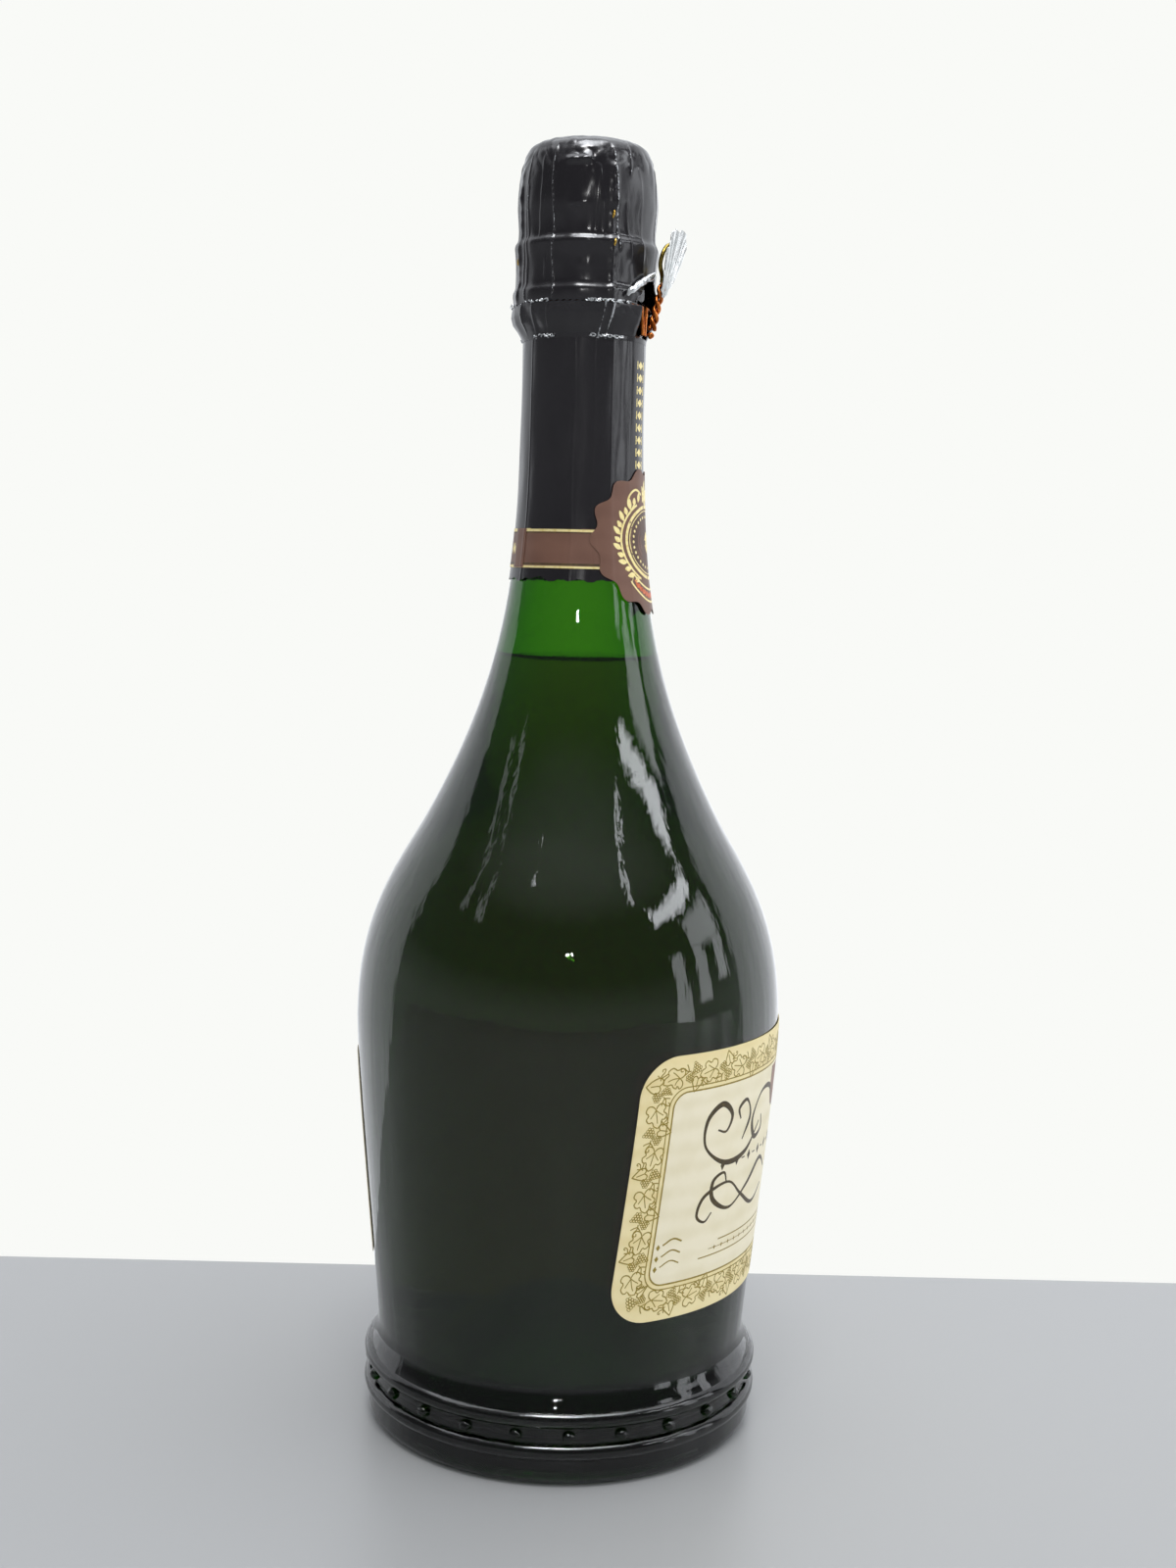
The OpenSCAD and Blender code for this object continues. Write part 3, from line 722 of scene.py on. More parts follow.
@dataclass(frozen=True)
class PrintInk(Recipe):
    """Printing ink on paper, plain or bronze-filled: a thin satin film, uneven where the paper's fibres show."""

    name: str
    colour: str
    thin: str
    metallic: float = 0.0
    roughness: float = 0.45
    patch_mm: float = 0.8

    def layers(self, tree: Tree) -> dict[str, Node]:
        """A film whose colour, gloss and relief follow one unevenness, as Recipe says."""
        where = add(tree, "TexCoord").outputs["Object"]
        patch = add(tree, "TexNoise", {"Scale": per_metre(self.patch_mm), "Detail": 4.0, "Vector": where})
        rough = spread(0.0, 1.0, self.roughness + 0.1, self.roughness - 0.05)
        settings = {
            "Metallic": self.metallic,
            "Base Color": add(tree, "ValToRGB", {"stops": {0.3: self.thin, 0.55: self.colour}, "Fac": patch}),
            "Roughness": add(tree, "MapRange", {**rough, "Value": patch}),
            "Normal": add(tree, "Bump", {"Strength": 0.1, "Distance": 0.00003, "Height": patch}),
        }
        return {"Surface": add(tree, "BsdfPrincipled", settings)}


@dataclass(frozen=True)
class TableLaminate(Recipe):
    """Melamine laminate, pressed flat: an even pale grey with a satin surface that softly mirrors what stands on it."""

    name: str = "grey_melamine_laminate"
    colour: str = "#b0b1b1"
    roughness: float = 0.38

    def layers(self, tree: Tree) -> dict[str, Node]:
        """One even surface, as Recipe says."""
        settings = {"Base Color": linear(self.colour), "Roughness": self.roughness}
        return {"Surface": add(tree, "BsdfPrincipled", settings)}


class Finish(Enum):
    """The finishes on the bottle, and its table's, by what they are made of."""

    GLASS = BottleGlass()
    BEAD_GLASS = BottleGlass("moulded_glass_beads", density=4200.0)  # painted shade: stained far denser than the bottle, as dark as the foot's depth behind them
    WINE = Wine()
    BLACK_FOIL = LacqueredFoil()
    BARE_FOIL = CrumpledAluminium()
    SCRAP_FOIL = CrumpledAluminium("bare_creased_aluminium_foil", "#f0f1ef", "#c8cdcb", 5.0, 1.0, 0.1)
    BRONZE_WIRE = LacqueredSteel("bronze_lacquered_steel_wire", "#c9a14e", "#7d5a22")
    COPPER_WIRE = LacqueredSteel("copper_lacquered_steel_wire", "#d47f3e", "#8c4617")
    # The bow's wire: the stem's wire painted a darker olive, as painted shade where it lies behind the scrap.
    OLIVE_WIRE = LacqueredSteel("olive_shaded_steel_wire", "#9a8640", "#5d4d20")
    CAP_SHEET = LacqueredSteel("gold_lacquered_steel_sheet", "#d8b154", "#b08a38", 9.0, 0.2, 0.3)
    CORK = AgglomerateCork()
    CORK_DISC = NaturalCork()
    CREAM_PAPER = LabelPaper("cream_laid_paper", "#efe0ae", "#e6d49c")
    PALE_PAPER = LabelPaper("pale_laid_paper", "#f1e8cc", "#e9dfbe")
    BROWN_PAPER = LabelPaper("brown_coated_paper", "#6f4d3d", "#664536", roughness=0.5)
    DARK_PAPER = LabelPaper("dark_brown_coated_paper", "#54382b", "#4b3125", roughness=0.5)
    OLIVE_INK = PrintInk("olive_gold_ink", "#8e7a22", "#a48e3a", 0.1)
    GOLD_INK = PrintInk("pale_gold_bronze_ink", "#f0e0a0", "#dcc67c", 0.35, 0.4)
    DARK_INK = PrintInk("dark_olive_brown_ink", "#3d3014", "#57471f")
    BROWN_INK = PrintInk("brown_ink", "#7d5641", "#8d6650")
    COPPER_INK = PrintInk("copper_red_ink", "#c7562f", "#d88a58", 0.2)
    LAMINATE = TableLaminate()

    def material(self) -> Material:
        """The Blender material, made when it is first asked for."""
        return bpy.data.materials.get(self.value.name) or self.value.make()


# Glass and wine


@dataclass
class Bottle:
    """The moulded bottle and the wine in it. Its sizes are the part's own."""

    body_d: float = 98.4
    body_z: float = 95.3
    waist_in: float = 5.95
    waist_z: float = 22.5
    shoulder_in: float = 15.3
    shoulder_z: float = 141.6
    shoulder_lean: float = 28.3
    neck_d: float = 27.2
    neck_z: float = 243.4
    mouth_z: float = 271.5
    wall: float = 3.5
    bore_d: float = 17.6
    bore_len: float = 26.0
    fill_z: float = 177.7
    foot_h: float = 6.2
    foot_out: float = 2.05
    foot_round: float = 3.0
    rib_h: float = 3.7
    rib_out: float = 3.15
    band_h: float = 3.5
    band_out: float = 1.45
    bead_d: float = 2.8
    bead_out: float = 1.5
    bead_count: int = 24
    bead_turn: float = -166.3
    bead_w_share: float = 1.08
    bead_h_share: float = 0.95
    rest_w: float = 2.8
    punt_h: float = 32.0
    base_wall: float = 4.5
    heel_round: float = 6.0
    heel_wall: float = 7.5
    meniscus: float = 1.3
    columns: int = 256
    ring_line: tuple[tuple[float, float], ...] = (
        (13.6, 253.7), (12.9, 255.2), (12.9, 258.4), (13.8, 258.4), (14.1, 259.0), (14.1, 262.4), (13.1, 263.0),
        (13.1, 265.9), (13.9, 266.5)
    )
    lip_r: float = 12.9
    lip_round: float = 1.0

    def side(self) -> Points:
        """Outline of the glass from the waist to the neck.

        Returns:
            Distances from the axis and heights.
        """
        waist = np.array([self.body_d / 2 - self.waist_in, self.waist_z])
        belly = np.array([self.body_d / 2, self.body_z])
        turn = np.array([self.body_d / 2 - self.shoulder_in, self.shoulder_z])
        neck = np.array([self.neck_d / 2, self.neck_z])
        a = math.radians(self.shoulder_lean)
        lean = np.array([-math.sin(a), math.cos(a)])
        return np.vstack([
            bezier(waist, waist + [0, 3], belly - [0, 12], belly, 40),
            bezier(belly, belly + [0, 24.4], turn - 12.6 * lean, turn, 40)[1:],
            bezier(turn, turn + 41 * lean, neck - [0, 41], neck, 60)[1:],
        ])

    def radius(self, z: Points | float) -> Points:
        """Outer radius of the glass at heights between the waist and the undercut."""
        side = self.side()
        return np.interp(z, side[:, 1], side[:, 0])

    def foot(self) -> Points:
        """Outline from the resting ring up to the waist.

        Returns:
            Distances from the axis and heights.
        """
        waist_r = self.body_d / 2 - self.waist_in
        rib_c = waist_r + self.rib_out - self.rib_h / 2
        foot_c = waist_r + self.foot_out - self.foot_round
        low_z = self.foot_h + self.rib_h / 2
        high_z = self.foot_h + 1.5 * self.rib_h + self.band_h
        band_r = waist_r + self.band_out
        top_rib = arc([rib_c, high_z], self.rib_h / 2, -72, 70, 18)
        last, waist = top_rib[-1], np.array([waist_r, self.waist_z])
        flare = bezier(last, last + 0.4 * (waist - last), waist - [0, (waist - last)[1] / 2], waist, 12)
        return np.vstack([
            [[foot_c - self.rest_w, 0], [foot_c, 0]],
            arc([foot_c, self.foot_round], self.foot_round, -80, 0, 10),
            arc([rib_c, low_z], self.rib_h / 2, -72, 72, 18),
            [[band_r, low_z + self.rib_h / 2], [band_r, high_z - self.rib_h / 2]],
            top_rib,
            flare[1:-1],
        ])

    def finish(self) -> Points:
        """Outline of the neck's top: undercut, cage ring, groove, lip and mouth.

        Returns:
            Distances from the axis and heights.
        """
        return np.vstack([
            self.ring_line,
            arc([self.lip_r, self.mouth_z - self.lip_round], self.lip_round, 0, 90, 8),
            arc([self.bore_d / 2 + self.lip_round, self.mouth_z - self.lip_round], self.lip_round, 90, 180, 8),
            [[self.bore_d / 2, self.mouth_z - self.bore_len]],
        ])

    def cavity(self, out: float = 0.0) -> Points:
        """Outline of the hollow, from under the bore down to the middle of the base.

        Args:
            out: How far the outline moves out into the glass.

        Returns:
            Distances from the axis and heights.
        """
        side = self.side()
        inner = side - side_normals(side) * (self.wall - out)
        heel = np.array([inner[0][0] - self.heel_round, self.heel_wall - out])
        top = self.punt_h + self.base_wall - out
        reach = self.body_d / 2 - self.waist_in + self.foot_out - self.foot_round - self.rest_w
        return np.vstack([
            inner[::-1],
            arc(heel + [0, self.heel_round], self.heel_round, 0, -90, 12),
            bezier(heel, [reach * 0.66, heel[1]], [reach * 0.42, top], [0, top], 40)[1:],
        ])

    def build(self) -> None:
        """Makes the glass, its beads and the wine."""
        reach = self.foot()[0][0] - 1.6
        punt = bezier([0, self.punt_h], [reach * 0.42, self.punt_h], [reach * 0.66, 1.6], [reach, 1.6], 40)
        outline = np.vstack([punt[1:], self.foot(), self.side(), self.finish(), self.cavity()[1:-1]])
        glass, wine = lathe(outline, self.columns), lathe(self.wine_line(), self.columns)
        settle("moulded_bottle", glass, Finish.GLASS, "bottle", "glass", "bottle_glass", sharp=35)
        settle("foot_beads", self.beads(), Finish.BEAD_GLASS, "bottle", "glass", sharp=60)
        settle("sparkling_wine", wine, Finish.WINE, "bottle", "wine", "wine", sharp=50)

    def wine_line(self) -> Points:
        """Outline of the wine, which reaches a little into the glass and creeps up it at its surface.

        Returns:
            Distances from the axis and heights.
        """
        walls = self.cavity(0.12)
        rim_z = self.fill_z + self.meniscus
        rim = [np.interp(rim_z, walls[:60, 1][::-1], walls[:60, 0][::-1]), rim_z]
        walls = np.vstack([[rim], walls[walls[:, 1] < rim_z]])[:-1]
        t = np.linspace(0, 1, 14)[1:]
        depth = self.meniscus * np.exp(-3.2 * t)
        creep = np.stack([rim[0] - 3.4 * t, self.fill_z + depth], 1)
        centre = [[rim[0] * 0.5, self.fill_z], [0.02, self.fill_z]]
        return np.vstack([walls[::-1], creep, centre])

    def beads(self) -> Solid:
        """The glass drops in the band between the ribs, a little wider than they are tall.

        Returns:
            All of them.
        """
        waist_r = self.body_d / 2 - self.waist_in
        z = self.foot_h + self.rib_h + self.band_h / 2
        r = waist_r + self.band_out + self.bead_out - self.bead_d / 2
        polar_steps, steps = 14, 24
        a = np.linspace(0.05, math.pi - 0.05, polar_steps)[:, None, None]
        b = (np.arange(steps) * 2 * math.pi / steps)[None, :, None]
        drops = []
        for i in range(self.bead_count):
            out, aside = bearings(self.bead_turn + i * 360 / self.bead_count)
            sides = np.sin(a) * (np.cos(b) * aside * self.bead_w_share + np.sin(b) * UP * self.bead_h_share)
            ball = out * r + np.array([0, 0, z]) + self.bead_d / 2 * (np.cos(a) * out + sides)
            drops.append(tube(ball, flip=True))
        return joined(drops)


# Foil


@dataclass
class Crease:
    """One fold that stands up from the foil.

    Attributes:
        turn: Its direction in degrees at its lower end.
        low: Height of its lower end.
        high: Height of its upper end.
        rise: How far it stands up.
        width: Half its width.
        lean: How far it drifts round on its way up, in degrees.
    """

    turn: float
    low: float
    high: float
    rise: float
    width: float
    lean: float = 0.0

    def lift(self, turn: Points, z: Points, r: Points) -> Points:
        """How far it lifts the foil.

        Args:
            turn: Directions in degrees.
            z: Heights.
            r: Distances from the axis.

        Returns:
            One lift for each point.
        """
        t = np.clip((z - self.low) / (self.high - self.low), 0, 1)
        wander = 0.5 * np.sin(z * 0.4 + self.turn) + 0.15 * np.sin(z * 1.3 + 2 * self.turn)
        apart = np.radians(turned(turn - self.turn - self.lean * t - wander)) * np.maximum(r, 2.0)
        ends = step_up(z, self.low - 0.6, self.low + 1.2) * (1 - step_up(z, self.high - 1.2, self.high + 0.6))
        return self.rise * np.exp(-((np.abs(apart) / self.width) ** 1.3)) * ends


def waves(turn: Points, z: Points, seed: int, count: int, reach_mm: float, strength: float) -> Points:
    """Soft unevenness that closes on itself round the axis.

    Args:
        turn: Directions in degrees.
        z: Heights.
        seed: What makes this pattern differ from others.
        count: How many waves are added up.
        reach_mm: Shortest wave up the axis.
        strength: Size of the sum.

    Returns:
        One value for each point.
    """
    rng = np.random.default_rng(seed)
    total = np.zeros(np.broadcast(turn, z).shape)
    for _ in range(count):
        around, up = rng.integers(3, 26), rng.uniform(0.1, 1.0) * 2 * math.pi / reach_mm
        total = total + np.sin(np.radians(turn) * around + z * up * rng.choice([-1, 1]) + rng.uniform(0, 6.3))
    return total * strength / math.sqrt(count)


class FoilPart(Enum):
    """The three lengths of foil, from the top down, with their piece, node and body names."""

    HOOD = ("creased_hood", "foil_hood", "hood")
    STRIP = ("crumpled_tear_strip", "tear_strip", "bottle")
    NECK = ("wrapped_neck_foil", "neck_foil", "bottle")


@dataclass
class Foil:
    """Black foil over cork, cage and neck: hood, tear strip and neck piece, with the curl and crumbs along the tear."""

    bottle: Bottle
    foil_t: float = 0.2
    hood_z: float = 257.0
    strip_top_z: float = 256.7
    strip_z: float = 249.3
    edge_z: float = 196.3
    crown_z: float = 293.9
    tooth_mm: float = 1.5
    edge_r: float = 16.4  # distance of the hood's edge from the axis
    print_r: float = 15.5  # distance of the cage's legs under the foil
    print_w: float = 0.85
    print_rise: float = 0.34
    neck_out: float = 0.32  # of the foil's outer face, over the glass
    columns: int = 720
    hood_line: tuple[tuple[float, float], ...] = (
        (16.42, 257.0), (16.52, 258.2), (16.52, 259.3), (16.42, 260.0), (16.1, 260.7), (15.92, 261.4),
        (15.88, 262.6), (15.9, 264.5), (16.0, 267.0), (16.2, 269.0), (16.27, 269.9), (16.1, 270.6),
        (15.7, 271.3), (15.53, 272.1), (15.52, 274.0), (15.66, 276.5), (15.8, 279.0), (15.72, 281.8),
        (15.5, 284.3), (15.1, 286.8), (14.62, 288.8), (14.1, 290.4), (13.1, 292.0), (11.0, 293.1),
        (7.5, 293.75), (3.5, 293.95), (0.05, 293.97),
    )
    # Creases: side of the camera in degrees, lower end, upper end, rise, half width, lean.
    creases: tuple[tuple[float, ...], ...] = (
        (-83, 258, 288, 0.16, 0.4), (-62, 260, 290, 0.14, 0.32, 4), (-56, 257, 283, 0.18, 0.3, -1),
        (-42, 271, 289, 0.12, 0.28, 2), (-36, 262, 267, 0.14, 0.24), (-27, 257, 291, 0.22, 0.26, -3),
        (8, 271, 286, 0.12, 0.26, 2), (13, 271, 279, 0.13, 0.26), (26.5, 268, 291, 0.3, 0.34, -4),
        (37, 284, 292, 0.2, 0.3, 1), (39, 266, 279, 0.12, 0.4, -6), (52, 263, 287, 0.14, 0.5, -5),
        (74, 261, 288, 0.2, 0.4, 4),
    )
    # Rubbed spots: side of the camera in degrees, height, half length.
    spots: tuple[tuple[float, float, float], ...] = ((21, 275.7, 0.85), (22, 269.7, 0.8), (-69.5, 266.4, 0.8))
    # Dents and bulges: side of the camera in degrees, height, reach round in degrees, reach up, rise.
    dents: tuple[tuple[float, float, float, float, float], ...] = (
        (-8, 287.2, 12, 0.85, 0.56), (-7, 277.8, 9, 1.0, 0.14), (5, 270.2, 7, 0.5, 0.12), (30, 274.0, 8, 2.6, -0.2),
        (44, 267.5, 9, 1.6, 0.22), (-2, 264.8, 6, 1.2, 0.1), (58, 284.0, 9, 2.2, -0.18), (-72, 280.5, 5, 0.8, 0.2),
    )
    # Tear over the loop: millimetres to the side of the loop, and up from the hood's edge.
    tear_line: tuple[tuple[float, float], ...] = (
        (-8.2, 0), (-7.4, 0.3), (-4.6, 2.8), (-1.7, 5.5), (1.5, 6.1), (4.4, 3.7), (5.3, 0.4), (5.9, 0),
    )
    # Tear strip: height, its distance from the axis in front, and on the left, where it bulges.
    strip_line: tuple[tuple[float, float, float], ...] = (
        (249.3, 13.95, 14.0), (250.4, 14.05, 14.5), (251.6, 14.5, 15.2), (253.0, 15.3, 16.2), (254.6, 16.0, 16.65),
        (256.0, 16.3, 16.55), (256.7, 16.42, 16.42),
    )
    # Sides of the camera, in degrees, at which strip and neck piece are creased.
    strip_creases: tuple[float, ...] = (-62, -48, -33, 14, 21, 96, 131, 170)
    neck_creases: tuple[float, ...] = (-172, -143, -114, -85, -8, 12, 48, 74, 103, 131, 158)

    def around(self) -> Points:
        """Directions of the columns of points, as one row."""
        return (np.arange(self.columns) * 360 / self.columns)[None, :]

    def legs(self, turn: Points, z: Points) -> Points:
        """How far the cage's four legs print through, at directions and heights.

        Args:
            turn: Directions in degrees.
            z: Heights.

        Returns:
            One lift for each point.
        """
        lift = 0.0
        for i in range(4):
            apart = np.radians(turned(turn - LEG_TURN - 90 * i)) * self.print_r
            twist = 0.05 * np.sin(z * 2.4 + i) + 0.07 * np.sin(z * 0.9 + 2 * i)
            lift = lift + (self.print_rise + twist) * np.exp(-((apart / self.print_w) ** 2))
        return lift * (1 - step_up(z, 285.5, 287.5))

    def behind(self) -> list[Crease]:
        """Creases on the sides that the measured ones leave plain.

        Returns:
            The creases.
        """
        rng = np.random.default_rng(21)
        made = []
        for turn in np.arange(CAMERA_TURN + 88, CAMERA_TURN + 290, 9.5):
            low, high = rng.uniform(257, 264), rng.uniform(281, 291)
            made.append(Crease(turn + rng.uniform(-3, 3), low, high, rng.uniform(0.08, 0.2), 0.32, rng.uniform(-3, 3)))
        return made

    def tear(self, turn: Points) -> Points:
        """Height of the tear in the hood's edge over the loop, at directions.

        Args:
            turn: Directions in degrees.

        Returns:
            One height over the hood's edge for each direction.
        """
        aside = np.radians(turned(turn - LOOP_TURN)) * self.edge_r
        return np.interp(aside, *zip(*self.tear_line))

    def teeth(self, turn: Points, depth: float, phase: float = 0.0) -> Points:
        """Small uneven teeth of a perforated edge, at directions.

        Args:
            turn: Directions in degrees.
            depth: How tall the largest are.
            phase: Where they start.

        Returns:
            One height each.
        """
        count = round(2 * math.pi * self.edge_r / self.tooth_mm)
        wave = np.sin(np.radians(turn) * count + phase)
        uneven = 0.5 + 0.5 * np.sin(np.radians(turn) * 11 + phase)
        return depth * (0.55 + 0.45 * uneven) * np.maximum(wave, -0.2)

    def frayed(self, turn: Points) -> Points:
        """How much of a perforation's edge is rubbed bare, at directions.

        Args:
            turn: Directions in degrees.

        Returns:
            A share from 0 to 1 for each.
        """
        angle = turned(turn - CAMERA_TURN)
        left = step_up(angle, -54, -50) * (1 - step_up(angle, -34, -30))
        right = step_up(angle, 0, 5) * (1 - step_up(angle, 40, 48))
        return 0.25 + 0.3 * (left + right) * (0.5 + 0.5 * np.sin(np.radians(turn) * 68))

    def hood(self) -> tuple[Solid, Points]:
        """Shapes the hood.

        Returns:
            The solid, and how worn the foil is at each point of a face.
        """
        line = through(self.hood_line, 190)
        turn = self.around()
        edge = self.hood_z + self.tear(turn) + self.teeth(turn, 0.22)
        way = lengths(line)
        start = np.interp(edge[0], line[:60, 1], way[:60])
        share = np.linspace(0, 1, len(line))[:, None]
        at = start[None, :] + (way[-1] - start[None, :]) * share
        r, z = np.interp(at, way, line[:, 0]), np.interp(at, way, line[:, 1])
        normal = side_normals(line)
        n_r, n_z = np.interp(at, way, normal[:, 0]), np.interp(at, way, normal[:, 1])
        measured = [Crease(CAMERA_TURN + side, *sizes) for side, *sizes in self.creases]
        folds = sum(crease.lift(turn, z, r) for crease in measured + self.behind())
        pleats = np.abs(waves(turn, z, seed=6, count=14, reach_mm=3.5, strength=0.1))
        pleats = pleats * step_up(z, 283, 287.5) * step_up(r, 4, 12) * (1 - 0.75 * step_up(z, 289, 291))
        crown = waves(turn, r * 1.3, seed=8, count=9, reach_mm=5.0, strength=0.05)
        crown = crown * step_up(z, 291.5, 293) * step_up(r, 0.5, 4)
        soft = waves(turn, z, seed=5, count=12, reach_mm=9.0, strength=0.045) * step_up(r, 2, 12)
        for side, height, reach, tall, rise in self.dents:
            apart = turned(turn - CAMERA_TURN - side)
            soft = soft + rise * np.exp(-((apart / reach) ** 4) - ((z - height) / tall) ** 2)
        lift = self.legs(turn, z) + folds + pleats + crown + soft - 0.16
        lift = lift * step_up(r, 0.2, 5)
        turn = np.broadcast_to(turn, r.shape)
        outer = polar(r + lift * n_r, turn, z + lift * n_z)
        under = lift - self.foil_t
        inner = polar(np.maximum(r + under * n_r, 0.05), turn, z + under * n_z)
        outer[..., 2] = np.minimum(outer[..., 2], self.crown_z + 0.25)
        worn = np.clip(folds / 0.2, 0, 1) * 0.78 + 0.5 * self.legs(turn, z) * step_up(z, 264, 270)
        worn += self.frayed(turn) * step_up(-np.abs(z - edge), -0.4, 0.0)
        return sheet(outer, inner, wrapped=True), worn

    def strip(self) -> tuple[Solid, Points]:
        """Shapes the tear strip, open round the loop.

        Returns:
            The solid, and how worn the foil is at each point of a face.
        """
        turn = self.around()
        aside = np.abs(np.radians(turned(turn - LOOP_TURN)) * 15.0)
        top = self.strip_top_z + 0.27 + self.teeth(turn, -0.12, 1.0) - 6.6 * (1 - step_up(aside, 3.4, 4.2))
        share = np.linspace(0, 1, 46)[:, None]
        z = self.strip_z + (top - self.strip_z) * share
        heights, front, left = zip(*self.strip_line)
        front, left = np.interp(z, heights, front), np.interp(z, heights, left)
        side = np.cos(np.radians(turn - (CAMERA_TURN - 98))) * 0.5 + 0.5
        lump = step_up(side, 0.8, 0.99)
        r = front + (left - front) * lump
        drape = 0.05 * np.sin(np.radians(turn) * 17 + z * 0.3) + 0.04 * np.sin(np.radians(turn) * 29 - z * 0.2)
        for a in self.strip_creases:
            apart = turned(turn - CAMERA_TURN - a - (z - 253) * 0.5)
            drape = drape + 0.2 * np.exp(-((np.abs(apart) / 1.3) ** 1.4))
        soft = waves(turn, z, seed=9, count=12, reach_mm=8.0, strength=0.05)
        lift = (drape + soft) * step_up(z, 249.4, 252.5)
        turn = np.broadcast_to(turn, z.shape)
        r = r + lift * (1 - step_up(z, 255.6, 256.6) * 0.6)
        outer, inner = polar(r, turn, z), polar(r - self.foil_t, turn, z)
        edges = step_up(z - top, -0.3, 0) + 1 - step_up(z, self.strip_z, self.strip_z + 0.3)
        forked = step_up(turned(turn - CAMERA_TURN), 8, 12) * (1 - step_up(turned(turn - CAMERA_TURN), 24, 28))
        worn = np.clip(drape / 0.2, 0, 1) * (0.62 + 0.34 * forked) + self.frayed(turn) * edges
        return sheet(outer, inner, wrapped=True), worn

    def neck_folds(self, turn: Points, z: Points) -> Points:
        """Ridges along the neck foil's lapped edges, and faint creases down it.

        Args:
            turn: Directions in degrees.
            z: Heights.

        Returns:
            One rise for each point.
        """
        angle = turned(turn - CAMERA_TURN)
        ridge = 0.12 * np.exp(-(((angle - 28.5) / 1.2) ** 2)) + 0.14 * np.exp(-(((angle + 55.5) / 1.0) ** 2))
        for a in self.neck_creases:
            ridge = ridge + 0.06 * np.exp(-((turned(angle - a - 0.6 * np.sin(z * 0.2 + a)) / 1.1) ** 2))
        return ridge

    def neck_radius(self, turn: Points, z: Points) -> Points:
        """Outer radius of the foil on the neck, at directions and heights.

        Args:
            turn: Directions in degrees.
            z: Heights.

        Returns:
            One distance from the axis for each point.
        """
        angle = turned(turn - CAMERA_TURN)
        overlap = 0.16 * step_up(angle, -56, -54.6) * (1 - step_up(angle, 27.2, 28.6))
        soft = waves(turn, z, seed=17, count=10, reach_mm=20.0, strength=0.03)
        return self.bottle.radius(z) + self.neck_out + overlap + self.neck_folds(turn, z) + soft

    def neck(self) -> tuple[Solid, Points]:
        """Shapes the foil on the neck, with its overlap and its ragged lower edge.

        Returns:
            The solid, and how worn the foil is at each point of a face.
        """
        turn = self.around()
        ragged = waves(turn, np.zeros_like(turn), seed=14, count=10, reach_mm=5.0, strength=0.3)
        ragged = ragged + self.teeth(turn, 0.12)
        start = self.edge_z + ragged
        z = start + (self.strip_z - 0.03 - start) * np.linspace(0, 1, 70)[:, None]
        r = self.neck_radius(turn, z)
        turn = np.broadcast_to(turn, z.shape)
        worn = 0.35 * np.clip(self.neck_folds(turn, z) / 0.12, 0, 1) + 0.4 * step_up(start - z, -0.35, 0)
        return sheet(polar(r, turn, z), polar(r - self.foil_t, turn, z), wrapped=True), worn

    def build(self) -> None:
        """Makes the three lengths of foil and what is torn from them."""
        shapes = {FoilPart.HOOD: self.hood, FoilPart.STRIP: self.strip, FoilPart.NECK: self.neck}
        for part, shape in shapes.items():
            solid, worn = shape()
            name, node, body = part.value
            marks = {"wear": np.tile(worn.ravel(), 2)}
            settle(name, solid, Finish.BLACK_FOIL, body, "black_foil", node, sharp=50, marks=marks)
        bare = Finish.BARE_FOIL
        settle("rubbed_spots", self.rubbed_spots(), Finish.CAP_SHEET, "hood", "cage_wire", sharp=50)
        settle("foil_curl", self.curl(), bare, "hood", "bare_foil", "torn_curl", sharp=50)
        settle("hood_crumbs", self.crumbs(257.15, 16.75, 3, True), bare, "hood", "bare_foil", sharp=50)
        settle("strip_crumbs", self.crumbs(249.9, 14.25, 4, False), bare, "bottle", "bare_foil", sharp=50)

    def rubbed_spots(self) -> Solid:
        """Small dabs of the cage's bronze that show where its legs have rubbed through the foil.

        Returns:
            All of them.
        """
        t = np.linspace(-1, 1, 9)
        line = np.array(self.hood_line[:22])
        made = []
        for side, height, size in self.spots:
            z = height + size * t
            out = np.interp(z, line[:, 1], line[:, 0]) + 0.2
            path = polar(out, CAMERA_TURN + side + 0.5 * t, z)
            made.append(wire(path, 0.36 * np.sqrt(1.03 - t**2) * size, 10))
        return joined(made)

    def curl(self) -> Solid:
        """Foil that has rolled back along the left side of the tear, and folds over at its end.

        Returns:
            The solid.
        """
        steps, around = 60, 16
        t = np.linspace(0, 1, steps)
        turn = LOOP_TURN - 30 * (1 - t) ** 0.9 - 4.0
        z = self.hood_z + 1.5 + 5.6 * t**0.75 + 0.12 * np.sin(t * 23)
        radius = 16.6 + 0.7 + 0.1 * np.sin(9 * t)
        ends = np.minimum(1, 0.45 + 5 * np.minimum(t, 1 - t))
        thick = 0.72 * ends * (1 + 0.06 * np.sin(t * 19) + 0.03 * np.sin(t * 47))
        points, faces = wire(polar(radius, turn, z), thick, around)
        out = points.copy()
        out[:, 2] += 0.07 * np.sin(points[:, 0] * 3) + 0.04 * np.sin(points[:, 1] * 6)
        return out, faces

